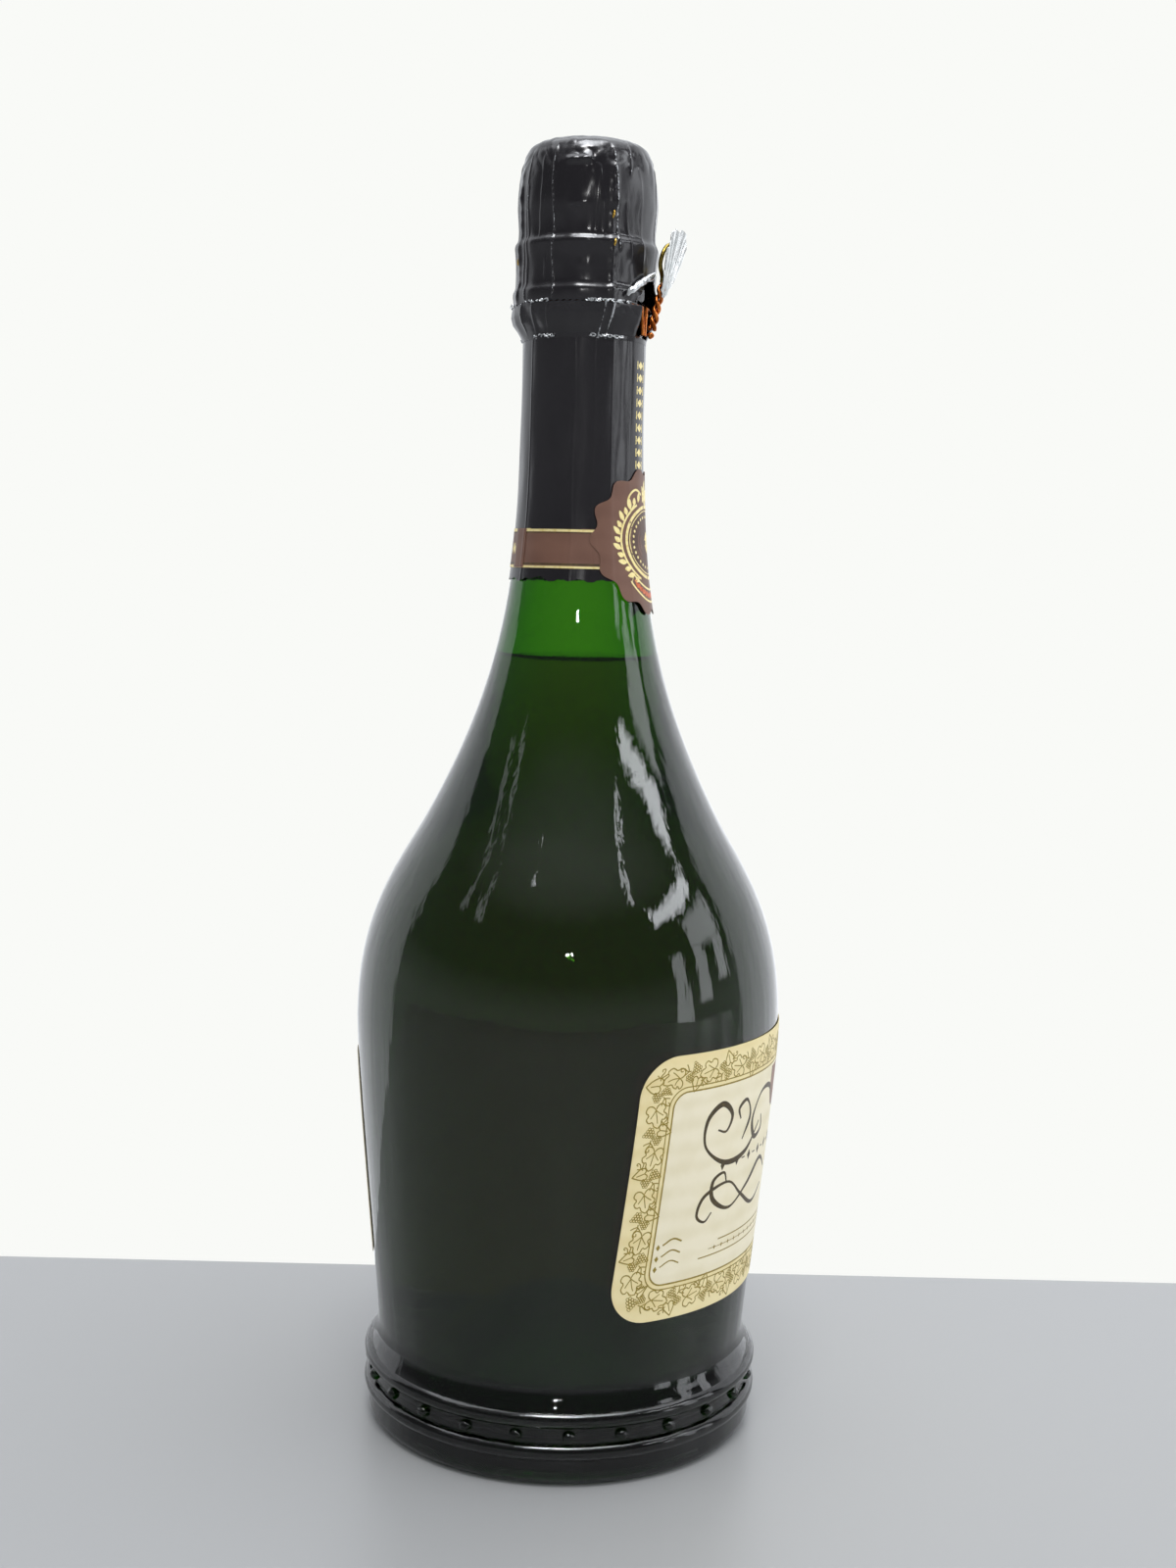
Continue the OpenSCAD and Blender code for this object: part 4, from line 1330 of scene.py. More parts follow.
    def crumbs(self, z: float, radius: float, seed: int, upper: bool) -> Solid:
        """Torn ends that stand up along a perforation.

        Args:
            z: The perforation's height.
            radius: Their distance from the axis.
            seed: What makes this row differ from others.
            upper: Whether they follow the tear in the hood's edge.

        Returns:
            All of them.
        """
        rng = np.random.default_rng(seed)
        made = []
        spots = np.concatenate(
            [CAMERA_TURN + rng.uniform(1, 36, 22), CAMERA_TURN + np.arange(-52, -30, 4.2), rng.uniform(-60, 170, 18)]
        )
        for turn in spots:
            if not upper and abs(turned(turn - LOOP_TURN)) < 18:
                continue
            edge = float(self.tear(np.array([turn]))[0]) if upper else 0.0
            size = rng.uniform(0.16, 0.62)
            a = rng.uniform(0, 6.3) + np.linspace(0, rng.uniform(2.2, 4.6), 9)
            path = polar(
                radius + 0.12 + 0.1 * np.sin(a * 2),
                turn + np.degrees(size * np.cos(a) / radius),
                z + edge + size * 0.55 * np.sin(a),
            )
            made.append(wire(path, 0.1 * (0.5 + np.sin(np.pi * np.linspace(0.1, 0.85, 9))), 6))
        return joined(made)


# Paper and print


@dataclass
class Wrap:
    """A surface that paper is wrapped on, read in millimetres sideways and up.

    Attributes:
        radius: Distance of the surface from the axis, at directions in degrees and heights.
        gap: Glue between the surface and the paper.
        facing: Direction of the sideways zero, in degrees.
    """

    radius: Callable[[Points, Points], Points]
    gap: float
    facing: float = FRONT

    def place(self, flat: Points, lift: float | Points = 0.0) -> Points:
        """Puts flat points on the surface.

        Args:
            flat: Millimetres to the right and up, in the last axis.
            lift: How far they stand off the paper's inner face.

        Returns:
            The points in millimetres.
        """
        aside, z = flat[..., 0], flat[..., 1]
        base = self.radius(np.full_like(aside, self.facing), z) + self.gap
        turn = self.facing + np.degrees(aside / base)
        return polar(self.radius(turn, z) + self.gap + lift, turn, z)


@dataclass
class Print:
    """Strokes and filled shapes of one ink, a thin film on paper.

    Attributes:
        wrap: The surface.
        lift: Height of the ink's foot over the paper's inner face.
        film: The ink's thickness.
    """

    wrap: Wrap
    lift: float
    film: float = 0.012
    solids: list[Solid] = field(default_factory=list)

    def stroke(self, line: Points, width: float | Points = 0.28, closed: bool = False) -> None:
        """Draws along a line.

        Args:
            line: Points to the right and up, in millimetres.
            width: The stroke's width, or one for each point.
            closed: Whether it ends where it starts.
        """
        line = np.asarray(line, float)
        ends = np.vstack([line[-1:], line, line[:1]]) if closed else np.vstack([line[:1], line, line[-1:]])
        d = ends[2:] - ends[:-2]
        n = np.stack([-d[:, 1], d[:, 0]], 1) / np.maximum(np.linalg.norm(d, axis=1, keepdims=True), 1e-6)
        half = np.broadcast_to(width, len(line))[:, None] / 2
        left, right = line + n * half, line - n * half
        flat = np.stack([left, right, right, left], 1)
        lift = np.array([self.lift + self.film] * 2 + [self.lift - self.film] * 2)
        self.solids.append(tube(self.wrap.place(flat, lift[None, :]), closed))

    def rule(self, start: Sequence[float], end: Sequence[float], count: int, width: float) -> None:
        """Draws a straight line.

        Args:
            start: Its first point, to the right and up.
            end: Its last point.
            count: Number of points along it, so that it follows the surface.
            width: The stroke's width.
        """
        self.stroke(evenly(np.array([start, end]), count), width)

    def fill(self, line: Points, rings: int = 3) -> None:
        """Fills a shape whose middle sees all of its outline.

        Args:
            line: Its outline, anticlockwise.
            rings: Number of rings of faces from the outline to the middle.
        """
        line = np.asarray(line, float)
        middle = line.mean(0)
        share = np.linspace(1, 0.02, rings + 1)[:, None, None]
        flat = middle + (line - middle)[None] * share
        top, foot = (self.wrap.place(flat, self.lift + side * self.film) for side in (1, -1))
        self.solids.append(sheet(top, foot, True))

    def lozenge(self, at: Sequence[float], width: float, height: float) -> None:
        """Fills a lozenge round a point.

        Args:
            at: The point.
            width: Its width.
            height: Its height.
        """
        corners = np.array([[width / 2, 0], [0, height / 2], [-width / 2, 0], [0, -height / 2], [width / 2, 0]])
        self.fill(np.array(at) + evenly(corners, 25)[:-1], 2)

    def finish(self, name: str, finish: Finish, slot: str) -> None:
        """Makes one piece of everything drawn."""
        settle(name, joined(self.solids), finish, "bottle", slot, sharp=30)


def rounded(width: float, height: float, corner: float, middle: Sequence[float], step: float = 0.8) -> Points:
    """Outline of a rounded rectangle, anticlockwise from the middle of its right side.

    Args:
        width: Its width.
        height: Its height.
        corner: Radius of its corners.
        middle: Its middle.
        step: Distance between points.

    Returns:
        The points, without the first one again at the end.
    """
    x, y = width / 2 - corner, height / 2 - corner
    line = [[[width / 2, 0]]]
    for cx, cy, start in ((x, y, 0), (-x, y, 90), (-x, -y, 180), (x, -y, 270)):
        line.append(arc([cx, cy], corner, start, start + 90, 16))
    line = np.vstack([*line, [[width / 2, 0]]])
    return np.array(middle) + evenly(line, round(lengths(line)[-1] / step) + 1)[:-1]


@dataclass
class Garland:
    """Border of vine leaves and grapes, drawn in outline along a closed line."""

    ink: Print
    line: Points
    repeats: int = 30
    pen: float = 0.27

    def __post_init__(self) -> None:
        """Measures the line once."""
        self.closed = np.vstack([self.line, self.line[:1]])
        self.way = lengths(self.closed)

    def bend(self, along: Points, across: Points) -> Points:
        """Points along the line and to its left, which is inwards.

        Args:
            along: Way along the line.
            across: Way inwards from it.

        Returns:
            The points to the right and up.
        """
        along = np.asarray(along, float) % self.way[-1]
        here = np.stack([np.interp(along, self.way, self.closed[:, k]) for k in (0, 1)], -1)
        ahead = np.stack([np.interp((along + 0.6) % self.way[-1], self.way, self.closed[:, k]) for k in (0, 1)], -1)
        d = ahead - here
        d = d / np.maximum(np.linalg.norm(d, axis=-1, keepdims=True), 1e-6)
        return here + np.stack([-d[..., 1], d[..., 0]], -1) * np.asarray(across)[..., None]

    def sketch(self, flat: Points, place: Sequence[float], share: float = 1.0, closed: bool = False) -> None:
        """Scales, turns and moves a small drawing onto the line, and draws it.

        Args:
            flat: The drawing, one unit in size.
            place: Its place along the line and inwards, its size in millimetres, and degrees to turn it by.
            share: Width of its strokes, as a share of the pen's.
            closed: Whether it ends where it starts.
        """
        at, aside, size, turn = place
        a = math.radians(turn)
        spin = np.array([[math.cos(a), math.sin(a)], [-math.sin(a), math.cos(a)]])
        p = np.asarray(flat) @ spin * size
        self.ink.stroke(self.bend(at + p[:, 0], aside + p[:, 1]), self.pen * share, closed)

    def leaf(self, lobes: bool, *place: float) -> None:
        """Draws a vine leaf with its veins, or a plain heart-shaped one.

        Args:
            lobes: Whether it has the vine leaf's lobes.
            place: As in sketch.
        """
        side = (
            [(0, 0), (-0.2, 0.16), (-0.22, 0.4), (0.02, 0.54), (0.2, 0.4), (0.4, 0.56), (0.62, 0.44), (0.6, 0.26)]
            if lobes
            else [(0, 0), (-0.16, 0.2), (-0.06, 0.42), (0.24, 0.46), (0.56, 0.3)]
        )
        side += [(0.84, 0.2), (1.0, 0.0)] if lobes else [(1.0, 0.0)]
        outline = np.vstack([through(side, 22), through([(x, -y) for x, y in side[::-1]], 22)[1:-1]])
        self.sketch(outline, place, closed=True)
        for x, y in [(0.74, 0.02), (0.4, 0.36), (0.4, -0.34)] if lobes else [(0.66, 0.04)]:
            self.sketch(through([(0.02, 0.0), (x * 0.5, y * 0.42), (x, y)], 6), place, 0.8)

    def grapes(self, *place: float) -> None:
        """Draws a bunch of grapes, as small rings in rows that get shorter.

        Args:
            place: As in sketch.
        """
        for row, count in enumerate((3, 4, 3, 2, 1)):
            for k in range(count):
                ring = arc([0.1 + 0.21 * row, 0.25 * (k - (count - 1) / 2)], 0.115, 0, 360, 8)[:-1]
                self.sketch(ring, place, 0.62, closed=True)

    def tendril(self, *place: float) -> None:
        """Draws a tendril that curls at its end, with two short shoots.

        Args:
            place: As in sketch.
        """
        curl = [(0, 0), (0.35, 0.12), (0.7, 0.02), (0.95, 0.16), (0.86, 0.34), (0.7, 0.24)]
        self.sketch(through(curl, 16), place, 0.9)
        for x, y in ((0.45, 0.5), (0.62, -0.34)):
            self.sketch(through([(0.2, 0.06), (x * 0.7, y * 0.6), (x, y)], 6), place, 0.9)

    def draw(self) -> None:
        """Draws the whole garland."""
        step = self.way[-1] / self.repeats
        for i in range(self.repeats):
            at, side = i * step, 1 if i % 2 else -1
            self.leaf(True, at + 0.3, -0.5 * side, 4.3, 12 * side)
            self.leaf(False, at + 5.0, 1.1 * side, 2.9, 75 * side)
            self.grapes(at + 5.1, -0.3 * side, 2.6, -68 * side)
            self.grapes(at + 7.6, 1.4 * side, 2.3, -120 * side)
            self.tendril(at + 7.0, -0.8 * side, 2.8, -25 * side)
            self.tendril(at + 4.2, 1.6 * side, 2.2, 150 * side)


@dataclass
class Labels:
    """The cream front label and the back label, with generic ornaments in place of any words."""

    bottle: Bottle
    gap: float = 0.15
    paper_t: float = 0.15
    front_w: float = 104.0
    front_h: float = 60.0
    front_z: float = 36.2
    front_round: float = 9.0
    back_w: float = 34.0
    back_h: float = 48.6
    back_z: float = 38.0
    back_round: float = 4.0
    garland_in: float = 4.5
    line_in: float = 8.1

    def wrap(self, facing: float) -> Wrap:
        """The glass under a label that faces a direction."""
        return Wrap(lambda turn, z: self.bottle.radius(z), self.gap, facing)

    def paper(
        self, wrap: Wrap, size: tuple[float, float], low_z: float, corner: float, foot: float, top: float
    ) -> Solid:
        """A sheet of paper with rounded corners.

        Args:
            wrap: The surface under it.
            size: Its width and height.
            low_z: Height of its lower edge.
            corner: Radius of its corners.
            foot: Lift of its inner face.
            top: Lift of its outer face.

        Returns:
            The solid.
        """
        w, h = size[0] / 2, size[1]
        a = np.linspace(0, math.pi / 2, 14)
        rise = corner * (1 - np.cos(a))
        heights = np.concatenate([rise, np.linspace(corner, h - corner, 50)[1:-1], h - rise[::-1]])
        cut = corner * (1 - np.sin(a))
        half = w - np.concatenate([cut, np.zeros(48), cut[::-1]])
        u = np.linspace(-1, 1, 150)[None, :]
        flat = np.stack(np.broadcast_arrays(half[:, None] * u, low_z + heights[:, None]), -1)
        return sheet(wrap.place(flat, top), wrap.place(flat, foot))

    def build(self) -> None:
        """Makes both labels."""
        self.front()
        self.back()

    def front(self) -> None:
        """Makes the front label: paper, paler field, garland, double line and ornaments."""
        wrap, t = self.wrap(FRONT), self.paper_t
        size = (self.front_w, self.front_h)
        solid = self.paper(wrap, size, self.front_z, self.front_round, 0.0, t)
        settle("front_label_paper", solid, Finish.CREAM_PAPER, "bottle", "cream_paper", "front_label")
        inset = self.line_in + 0.3
        inner = (self.front_w - 2 * inset, self.front_h - 2 * inset)
        solid = self.paper(wrap, inner, self.front_z + inset, 3.2, t - 0.02, t + 0.008)
        settle("front_label_field", solid, Finish.PALE_PAPER, "bottle", "cream_paper")
        middle = (0.0, self.front_z + self.front_h / 2)
        olive = Print(wrap, t + 0.004)
        g = self.garland_in
        line = rounded(size[0] - 2 * g, size[1] - 2 * g, self.front_round - g, middle, 0.5)
        Garland(olive, line).draw()
        for inset, corner, width in ((self.line_in - 0.95, 4.4, 0.26), (self.line_in + 0.1, 3.5, 0.36)):
            frame_line = rounded(size[0] - 2 * inset, size[1] - 2 * inset, corner, middle)
            olive.stroke(frame_line, width, closed=True)
        self.small_marks(olive)
        olive.finish("front_label_olive_print", Finish.OLIVE_INK, "cream_paper")
        dark = Print(wrap, t + 0.012)
        self.flourishes(dark)
        dark.finish("front_label_dark_print", Finish.DARK_INK, "cream_paper")
        brown = Print(wrap, t + 0.012)
        top = self.front_z + self.front_h - self.line_in
        shield = [(-5.4, top - 1.0), (-5.4, top - 7.0), (-3.4, top - 10.2), (0, top - 11.6), (3.4, top - 10.2)]
        shield += [(5.4, top - 7.0), (5.4, top - 1.0), (0, top - 1.0), (-5.4, top - 1.0)]
        brown.fill(evenly(np.array(shield), 61)[:-1], 5)
        brown.finish("front_label_brown_print", Finish.BROWN_INK, "cream_paper")

    def small_marks(self, ink: Print) -> None:
        """Rules and sprays at the foot of the front label.

        Args:
            ink: What they are drawn with.
        """
        z = self.front_z
        for side in (-1, 1):
            for k, height in enumerate((18.6, 16.0, 13.6)):
                spray = [(side * x, z + height + y) for x, y in ((41.5, -1.2), (39.0, 0), (36.6, -0.9))]
                ink.stroke(through(spray, 12), 0.4 - 0.05 * k)
                ink.lozenge((side * 42.6, z + height - 1.6), 1.0, 1.5)
        for height, half, width in ((15.6, 25.0, 0.3), (12.4, 31.0, 0.3), (14.0, 28.0, 0.16)):
            ink.rule((-half, z + height), (half, z + height), 60, width)
        for k in range(-10, 11):
            ink.lozenge((k * 2.6, z + 14.0), 0.7, 1.1)

    def flourishes(self, ink: Print) -> None:
        """Calligraphic scrolls and rows of lozenges in the middle of the front label.

        Args:
            ink: What they are drawn with.
        """
        z = self.front_z
        big = [(-1, 40.5), (-6, 46.5), (-12.5, 46.8), (-16.5, 41.5), (-14.5, 36.8), (-10.8, 38.0), (-11.4, 41.2)]
        wave = [(-12.5, 40.0), (-18.5, 34.4), (-26.5, 33.6), (-33.4, 38.2), (-33.8, 44.4), (-29.6, 47.4), (-25.8, 44.4)]
        wave += [(-27.2, 40.9), (-30.2, 41.6)]
        inner = [(-20.6, 37.6), (-18.0, 42.6), (-20.2, 46.6), (-23.2, 45.2), (-22.2, 42.6)]
        low = [(-2, 26.5), (-8.5, 30.2), (-15.5, 26.0), (-22.5, 22.4), (-28.8, 25.4), (-29.6, 29.8), (-26.2, 31.2)]
        low += [(-24.8, 28.6)]
        tail = [(-4, 23.0), (-11, 20.6), (-18, 24.4), (-24, 28.6), (-31.5, 27.0), (-33.4, 22.8), (-30.8, 20.8)]
        tail += [(-28.8, 22.6)]
        for side in (-1, 1):
            for points, thick in ((big, 1.35), (wave, 1.5), (inner, 0.9), (low, 1.25), (tail, 0.8)):
                line = through([(x * -side, y + z) for x, y in points], 90)
                swell = np.sin(np.linspace(0, math.pi, 90)) ** 1.4
                ink.stroke(line, 0.42 + 1.25 * thick * swell * (0.55 + 0.45 * np.sin(np.linspace(0.4, 9, 90))))
            for k in range(1, 6):
                ink.lozenge((side * k * 5.4, z + 33.0), 1.5, 2.4)
                ink.rule((side * (k * 5.4 - 2.0), z + 33.0), (side * (k * 5.4 - 3.4), z + 33.0), 4, 0.3)
        ink.lozenge((0, z + 33.0), 2.2, 3.2)

    def back(self) -> None:
        """Makes the back label: paper, double line, and plain rules and rows of marks."""
        wrap, t = self.wrap(FRONT + 180), self.paper_t
        size = (self.back_w, self.back_h)
        solid = self.paper(wrap, size, self.back_z, self.back_round, 0.0, t)
        settle("back_label_paper", solid, Finish.PALE_PAPER, "bottle", "cream_paper", "back_label")
        middle = (0.0, self.back_z + self.back_h / 2)
        ink = Print(wrap, t + 0.004)
        for inset, corner, width in ((2.0, 3.0, 0.4), (2.9, 2.4, 0.2)):
            ink.stroke(rounded(size[0] - 2 * inset, size[1] - 2 * inset, corner, middle), width, closed=True)
        rng = np.random.default_rng(6)
        for row in range(9):
            z = self.back_z + 10 + 3.4 * row
            half = 11.5 - (row % 3) * 1.2
            x = -half
            while x < half - 1:
                end = min(x + rng.uniform(1.6, 5.2), half)
                ink.rule((x, z), (end, z), 8, 0.5)
                x = end + 0.8
        for k in range(-3, 4):
            ink.lozenge((k * 2.6, self.back_z + 6.2), 1.1, 1.7)
        ink.lozenge((0, self.back_z + self.back_h - 6.0), 3.2, 3.6)
        for side in (-1, 1):
            scroll = [(2.4, 42.6), (5.4, 44.4), (8.6, 42.8), (9.6, 40.6), (8.2, 39.8), (7.4, 41.2)]
            ink.stroke(through([(side * x, self.back_z + y) for x, y in scroll], 40), 0.4)
        ink.finish("back_label_print", Finish.OLIVE_INK, "cream_paper")


@dataclass
class NeckDress:
    """The brown band round the neck, the scalloped seal over it, and the gold print on both and on the foil."""

    foil: Foil
    glue: float = 0.03
    paper_t: float = 0.13
    band_z: float = 198.8
    band_h: float = 8.7
    seal_w: float = 38.0
    seal_h: float = 33.2
    seal_z: float = 205.2
    scallops: int = 14
    scallop_h: float = 0.8
    column_turn: float = CAMERA_TURN + 66.0

    def build(self) -> None:
        """Makes band, seal and print."""
        band_wrap = Wrap(self.foil.neck_radius, self.glue)
        seal_wrap = Wrap(self.foil.neck_radius, self.glue + self.paper_t + self.glue)
        settle("brown_neck_band", self.band(), Finish.BROWN_PAPER, "bottle", "brown_paper", "neck_band")
        settle("neck_seal", self.seal(seal_wrap), Finish.BROWN_PAPER, "bottle", "brown_paper")
        self.band_print(band_wrap)
        self.seal_print(seal_wrap)
        column = Print(Wrap(self.foil.neck_radius, 0.0, self.column_turn), 0.012)
        for k in range(9):
            z = 222.4 + 2.75 * k
            column.lozenge((0, z), 2.3, 1.9)
            for side in (-1, 1):
                column.rule((side * 1.5, z - 0.9), (side * 1.5, z + 0.9), 5, 0.34)
        column.finish("neck_foil_gold_print", Finish.GOLD_INK, "brown_paper")

    def band(self) -> Solid:
        """The band: a strip that goes once round and laps over itself a little.

        Returns:
            The solid.
        """
        columns = 420
        turn = np.linspace(CAMERA_TURN - 66, CAMERA_TURN - 66 + 374, columns)[None, :]
        lap = 0.17 * step_up(turn, CAMERA_TURN - 66 + 355, CAMERA_TURN - 66 + 360)
        z = self.band_z + np.linspace(0, self.band_h, 14)[:, None] + 0.12 * step_up(turn, CAMERA_TURN, CAMERA_TURN + 2)
        r = self.foil.neck_radius(turn, z) + self.glue + lap
        turn = np.broadcast_to(turn, z.shape)
        return sheet(polar(r + self.paper_t, turn, z), polar(r, turn, z))

    def outline(self) -> Points:
        """The seal's scalloped edge, anticlockwise.

        Returns:
            The points to the right and up.
        """
        a = np.linspace(0, 2 * math.pi, 280, endpoint=False)
        lobe = self.scallop_h * np.cos(self.scallops * a) - self.scallop_h
        return np.stack([(self.seal_w / 2 + lobe) * np.cos(a), self.seal_z + (self.seal_h / 2 + lobe) * np.sin(a)], 1)

    def seal(self, wrap: Wrap) -> Solid:
        """The seal's paper.

        Args:
            wrap: The surface under it.

        Returns:
            The solid.
        """
        line = self.outline()
        middle = np.array([0, self.seal_z])
        share = np.linspace(1, 0.004, 40)[:, None, None]
        flat = middle + (line - middle)[None] * share
        return sheet(wrap.place(flat, self.paper_t), wrap.place(flat, 0.0), True)

    def band_print(self, wrap: Wrap) -> None:
        """Gold and dark lines along the band's edges, and a small gold device on the left.

        Args:
            wrap: The band's surface.
        """
        gold, dark = Print(wrap, self.paper_t + 0.004), Print(wrap, self.paper_t + 0.004)
        spread_out = math.radians(1) * 16.9
        left, right = (CAMERA_TURN - 64 - FRONT) * spread_out, (CAMERA_TURN + 32 - FRONT) * spread_out
        back = (CAMERA_TURN + 286 - FRONT) * spread_out
        high, low = self.band_z + self.band_h, self.band_z
        rules = ((gold, high - 0.3, 0.55), (gold, low + 0.3, 0.5), (dark, low + 0.95, 0.4), (dark, high - 0.8, 0.18))
        for start, end, drop in ((left, right, 0.0), (35.0, back, 0.12)):
            for ink, z, width in rules:
                ink.rule((start, z + drop), (end, z + drop), 150, width)
        for k in (-1, 1):
            device = (CAMERA_TURN - 60 - FRONT) * spread_out
            gold.lozenge((device + 0.7 * k, low + self.band_h / 2), 1.5, 2.6)
        gold.finish("neck_band_gold_print", Finish.GOLD_INK, "brown_paper")
        dark.finish("neck_band_dark_print", Finish.DARK_INK, "brown_paper")

    def ellipse(self, half_w: float, half_h: float, start: float = 0.0, end: float = 360.0) -> Points:
        """Part of an ellipse round the seal's middle, drawn from one angle to another.

        Args:
            half_w: Half its width.
            half_h: Half its height.
            start: First angle in degrees.
            end: Last angle.

        Returns:
            The points to the right and up.
        """
        a = np.radians(np.linspace(start, end, 90))
        return np.stack([half_w * np.cos(a), self.seal_z + half_h * np.sin(a)], 1)

    def seal_print(self, wrap: Wrap) -> None:
        """Rings, wreath, scrolls and a plain ribbon in gold, over a darker oval.

        Args:
            wrap: The seal's surface.
        """
        oval = Print(wrap, self.paper_t + 0.002, 0.006)
        oval.fill(self.ellipse(9.0, 7.4)[:-1], 8)
        oval.finish("seal_dark_oval", Finish.DARK_PAPER, "brown_paper")
        ink = Print(wrap, self.paper_t + 0.01)
        z = self.seal_z
        ink.stroke(self.ellipse(9.6, 8.0)[:-1], 0.75, closed=True)
        ink.stroke(self.ellipse(11.2, 9.3, 118, 242), 0.5)
        ink.stroke(self.ellipse(11.2, 9.3, -62, 62), 0.5)
        ink.stroke(self.ellipse(8.6, 7.1)[:-1], 0.22, closed=True)
        for a in np.arange(0, 360, 12):
            dot = arc(self.ellipse(7.2, 5.8, a, a)[0], 0.34, 0, 360, 8)[:-1]
            ink.fill(dot, 1)
        ink.lozenge((0, z), 4.2, 5.0)
        for side in (-1, 1):
            for k, a in enumerate(np.arange(-58, 66, 9.5)):
                base = self.ellipse(11.4, 9.6, a, a)[0] - [0, z]
                out = np.array([math.cos(math.radians(a + 38)), math.sin(math.radians(a + 38))])
                length = 2.6 if k % 2 else 1.9
                tip, aside = base + out * length, np.array([-out[1], out[0]]) * 0.62
                belly = base + out * length * 0.45
                leaf = np.array([base, belly - aside, tip, belly + aside, base])
                leaf = through(leaf, 17)[:-1] * [side, 1] + [0, z]
                ink.fill(leaf if side > 0 else leaf[::-1], 1)
            scroll = [(3.0, 10.6), (5.6, 11.6), (8.0, 10.2), (8.6, 8.2), (7.4, 7.2), (6.4, 8.2)]
            ink.stroke(through([(side * x, z + y) for x, y in scroll], 30), 0.5)
        ink.fill([(2.2, z + 9.0), (2.6, z + 12.4), (0, z + 14.0), (-2.6, z + 12.4), (-2.2, z + 9.0), (0, z + 8.2)], 3)
        ribbon = np.vstack([self.ellipse(12.4, 13.4, 222, 318), self.ellipse(11.0, 10.6, 318, 222)])
        ink.stroke(ribbon, 0.45, closed=True)
        ink.finish("seal_gold_print", Finish.GOLD_INK, "brown_paper")
        wave = self.ellipse(11.7, 12.0, 228, 312) + np.stack([np.zeros(90), 0.4 * np.sin(np.arange(90) * 0.9)], 1)
        red = Print(wrap, self.paper_t + 0.01)
        red.stroke(wave, 0.7)
        red.finish("seal_ribbon_print", Finish.COPPER_INK, "brown_paper")


# Cork, cage and loop


@dataclass
class CorkAndCage:
    """The cork's finishes, and the cage round it: pressed cap, crown wire, four twisted legs and the belt."""

    pair_r: float = 0.35
    leg_pitch: float = 4.2
    belt_r: float = 14.3
    belt_z: float = 257.0
    belt_wire_d: float = 1.0
    belt_gap: float = 5.0  # half the opening between its ends, in degrees
    belt_drop: float = 6.0
    cap_d: float = 27.4
    cap_z: float = 287.2
    cap_rim_h: float = 1.7
    cap_rise: float = 4.5
    cap_t: float = 0.3
    ring_rs: tuple[float, float] = (9.6, 7.8)
    ring_h: float = 0.16
    ring_w: float = 0.35
    leg_line: tuple[tuple[float, float], ...] = (
        (15.1, 258.87), (14.9, 271.5), (14.65, 276.6), (14.65, 281.7), (13.725, 285.4), (13.55, 286.25),
    )

    def dress(self, nodes: dict[str, Thing]) -> None:
        """Gives the cork and the plain wires their finishes.

        Args:
            nodes: The CAD nodes' objects by name.
        """
        finishes = {
            "cork_body": Finish.CORK,
            "cork_disc_upper": Finish.CORK_DISC,
            "cork_disc_lower": Finish.CORK_DISC,
            "cage_crown_wire": Finish.BRONZE_WIRE,
            "leg_eyelets": Finish.BRONZE_WIRE,
        }
        for name, finish in finishes.items():
            dress(nodes[name], finish)

    def build(self) -> None:
        """Makes the twisted legs, the belt and the cap."""
        for i in range(4):
            line = through(self.leg_line, 90)
            path = polar(line[:, 0], LEG_TURN + 90 * i, line[:, 1])
            leg = twisted(path, self.pair_r * 0.98, self.leg_pitch, 10, 45 * i)
            settle(f"twisted_leg_{i + 1}", leg, Finish.BRONZE_WIRE, "cage", "cage_wire", f"cage_leg_{i + 1}")
        settle("belt_wire", self.belt(), Finish.COPPER_WIRE, "cage", "cage_wire", "cage_belt")
        settle("pressed_cap", lathe(self.cap_line(), 128), Finish.CAP_SHEET, "cage", "cap_sheet", "cage_cap", sharp=35)

    def belt(self) -> Solid:
        """The belt under the glass ring, with both ends dropping side by side to the root of the stem.

        Returns:
            The solid.
        """
        gap, drop = self.belt_gap, self.belt_drop
        ring = [bearings(a)[0] * self.belt_r + UP * self.belt_z for a in np.linspace(gap, 360 - gap, 120)]
        tip = np.array([self.belt_r, self.belt_wire_d / 2 + 0.05, self.belt_z - drop])
        end = bezier(tip, tip + UP * drop / 2, ring[0] - UP * drop / 3, ring[0], 14)
        path = np.vstack([end, ring[1:-1], end[::-1] * [1, -1, 1]])
        return wire(path @ np.array([*bearings(LOOP_TURN), UP]), self.belt_wire_d / 2)

    def cap_line(self) -> Points:
        """Outline of the cap: rolled rim, dome with pressed rings, and a plain raised field in the middle.

        Returns:
            Distances from the axis and heights.
        """
        r = self.cap_d / 2
        share = np.linspace(0, 1, 90)
        x = (r - 0.3) * (1 - share) + 0.02
        dome = self.cap_rim_h + self.cap_rise * np.maximum(1 - (x / (r - 0.3)) ** 2, 0) ** 0.8
        rings = sum(self.ring_h * np.exp(-(((x - ring) / self.ring_w) ** 2)) for ring in self.ring_rs)
        top = np.stack([x, self.cap_z + dome + rings - self.ring_h], 1)
        rim = [[r - self.cap_t, self.cap_z], [r, self.cap_z], [r, self.cap_z + self.cap_rim_h - 0.3]]
        under = top[::-1] - [0, self.cap_t]
        return np.vstack([under[:-2], rim, top])


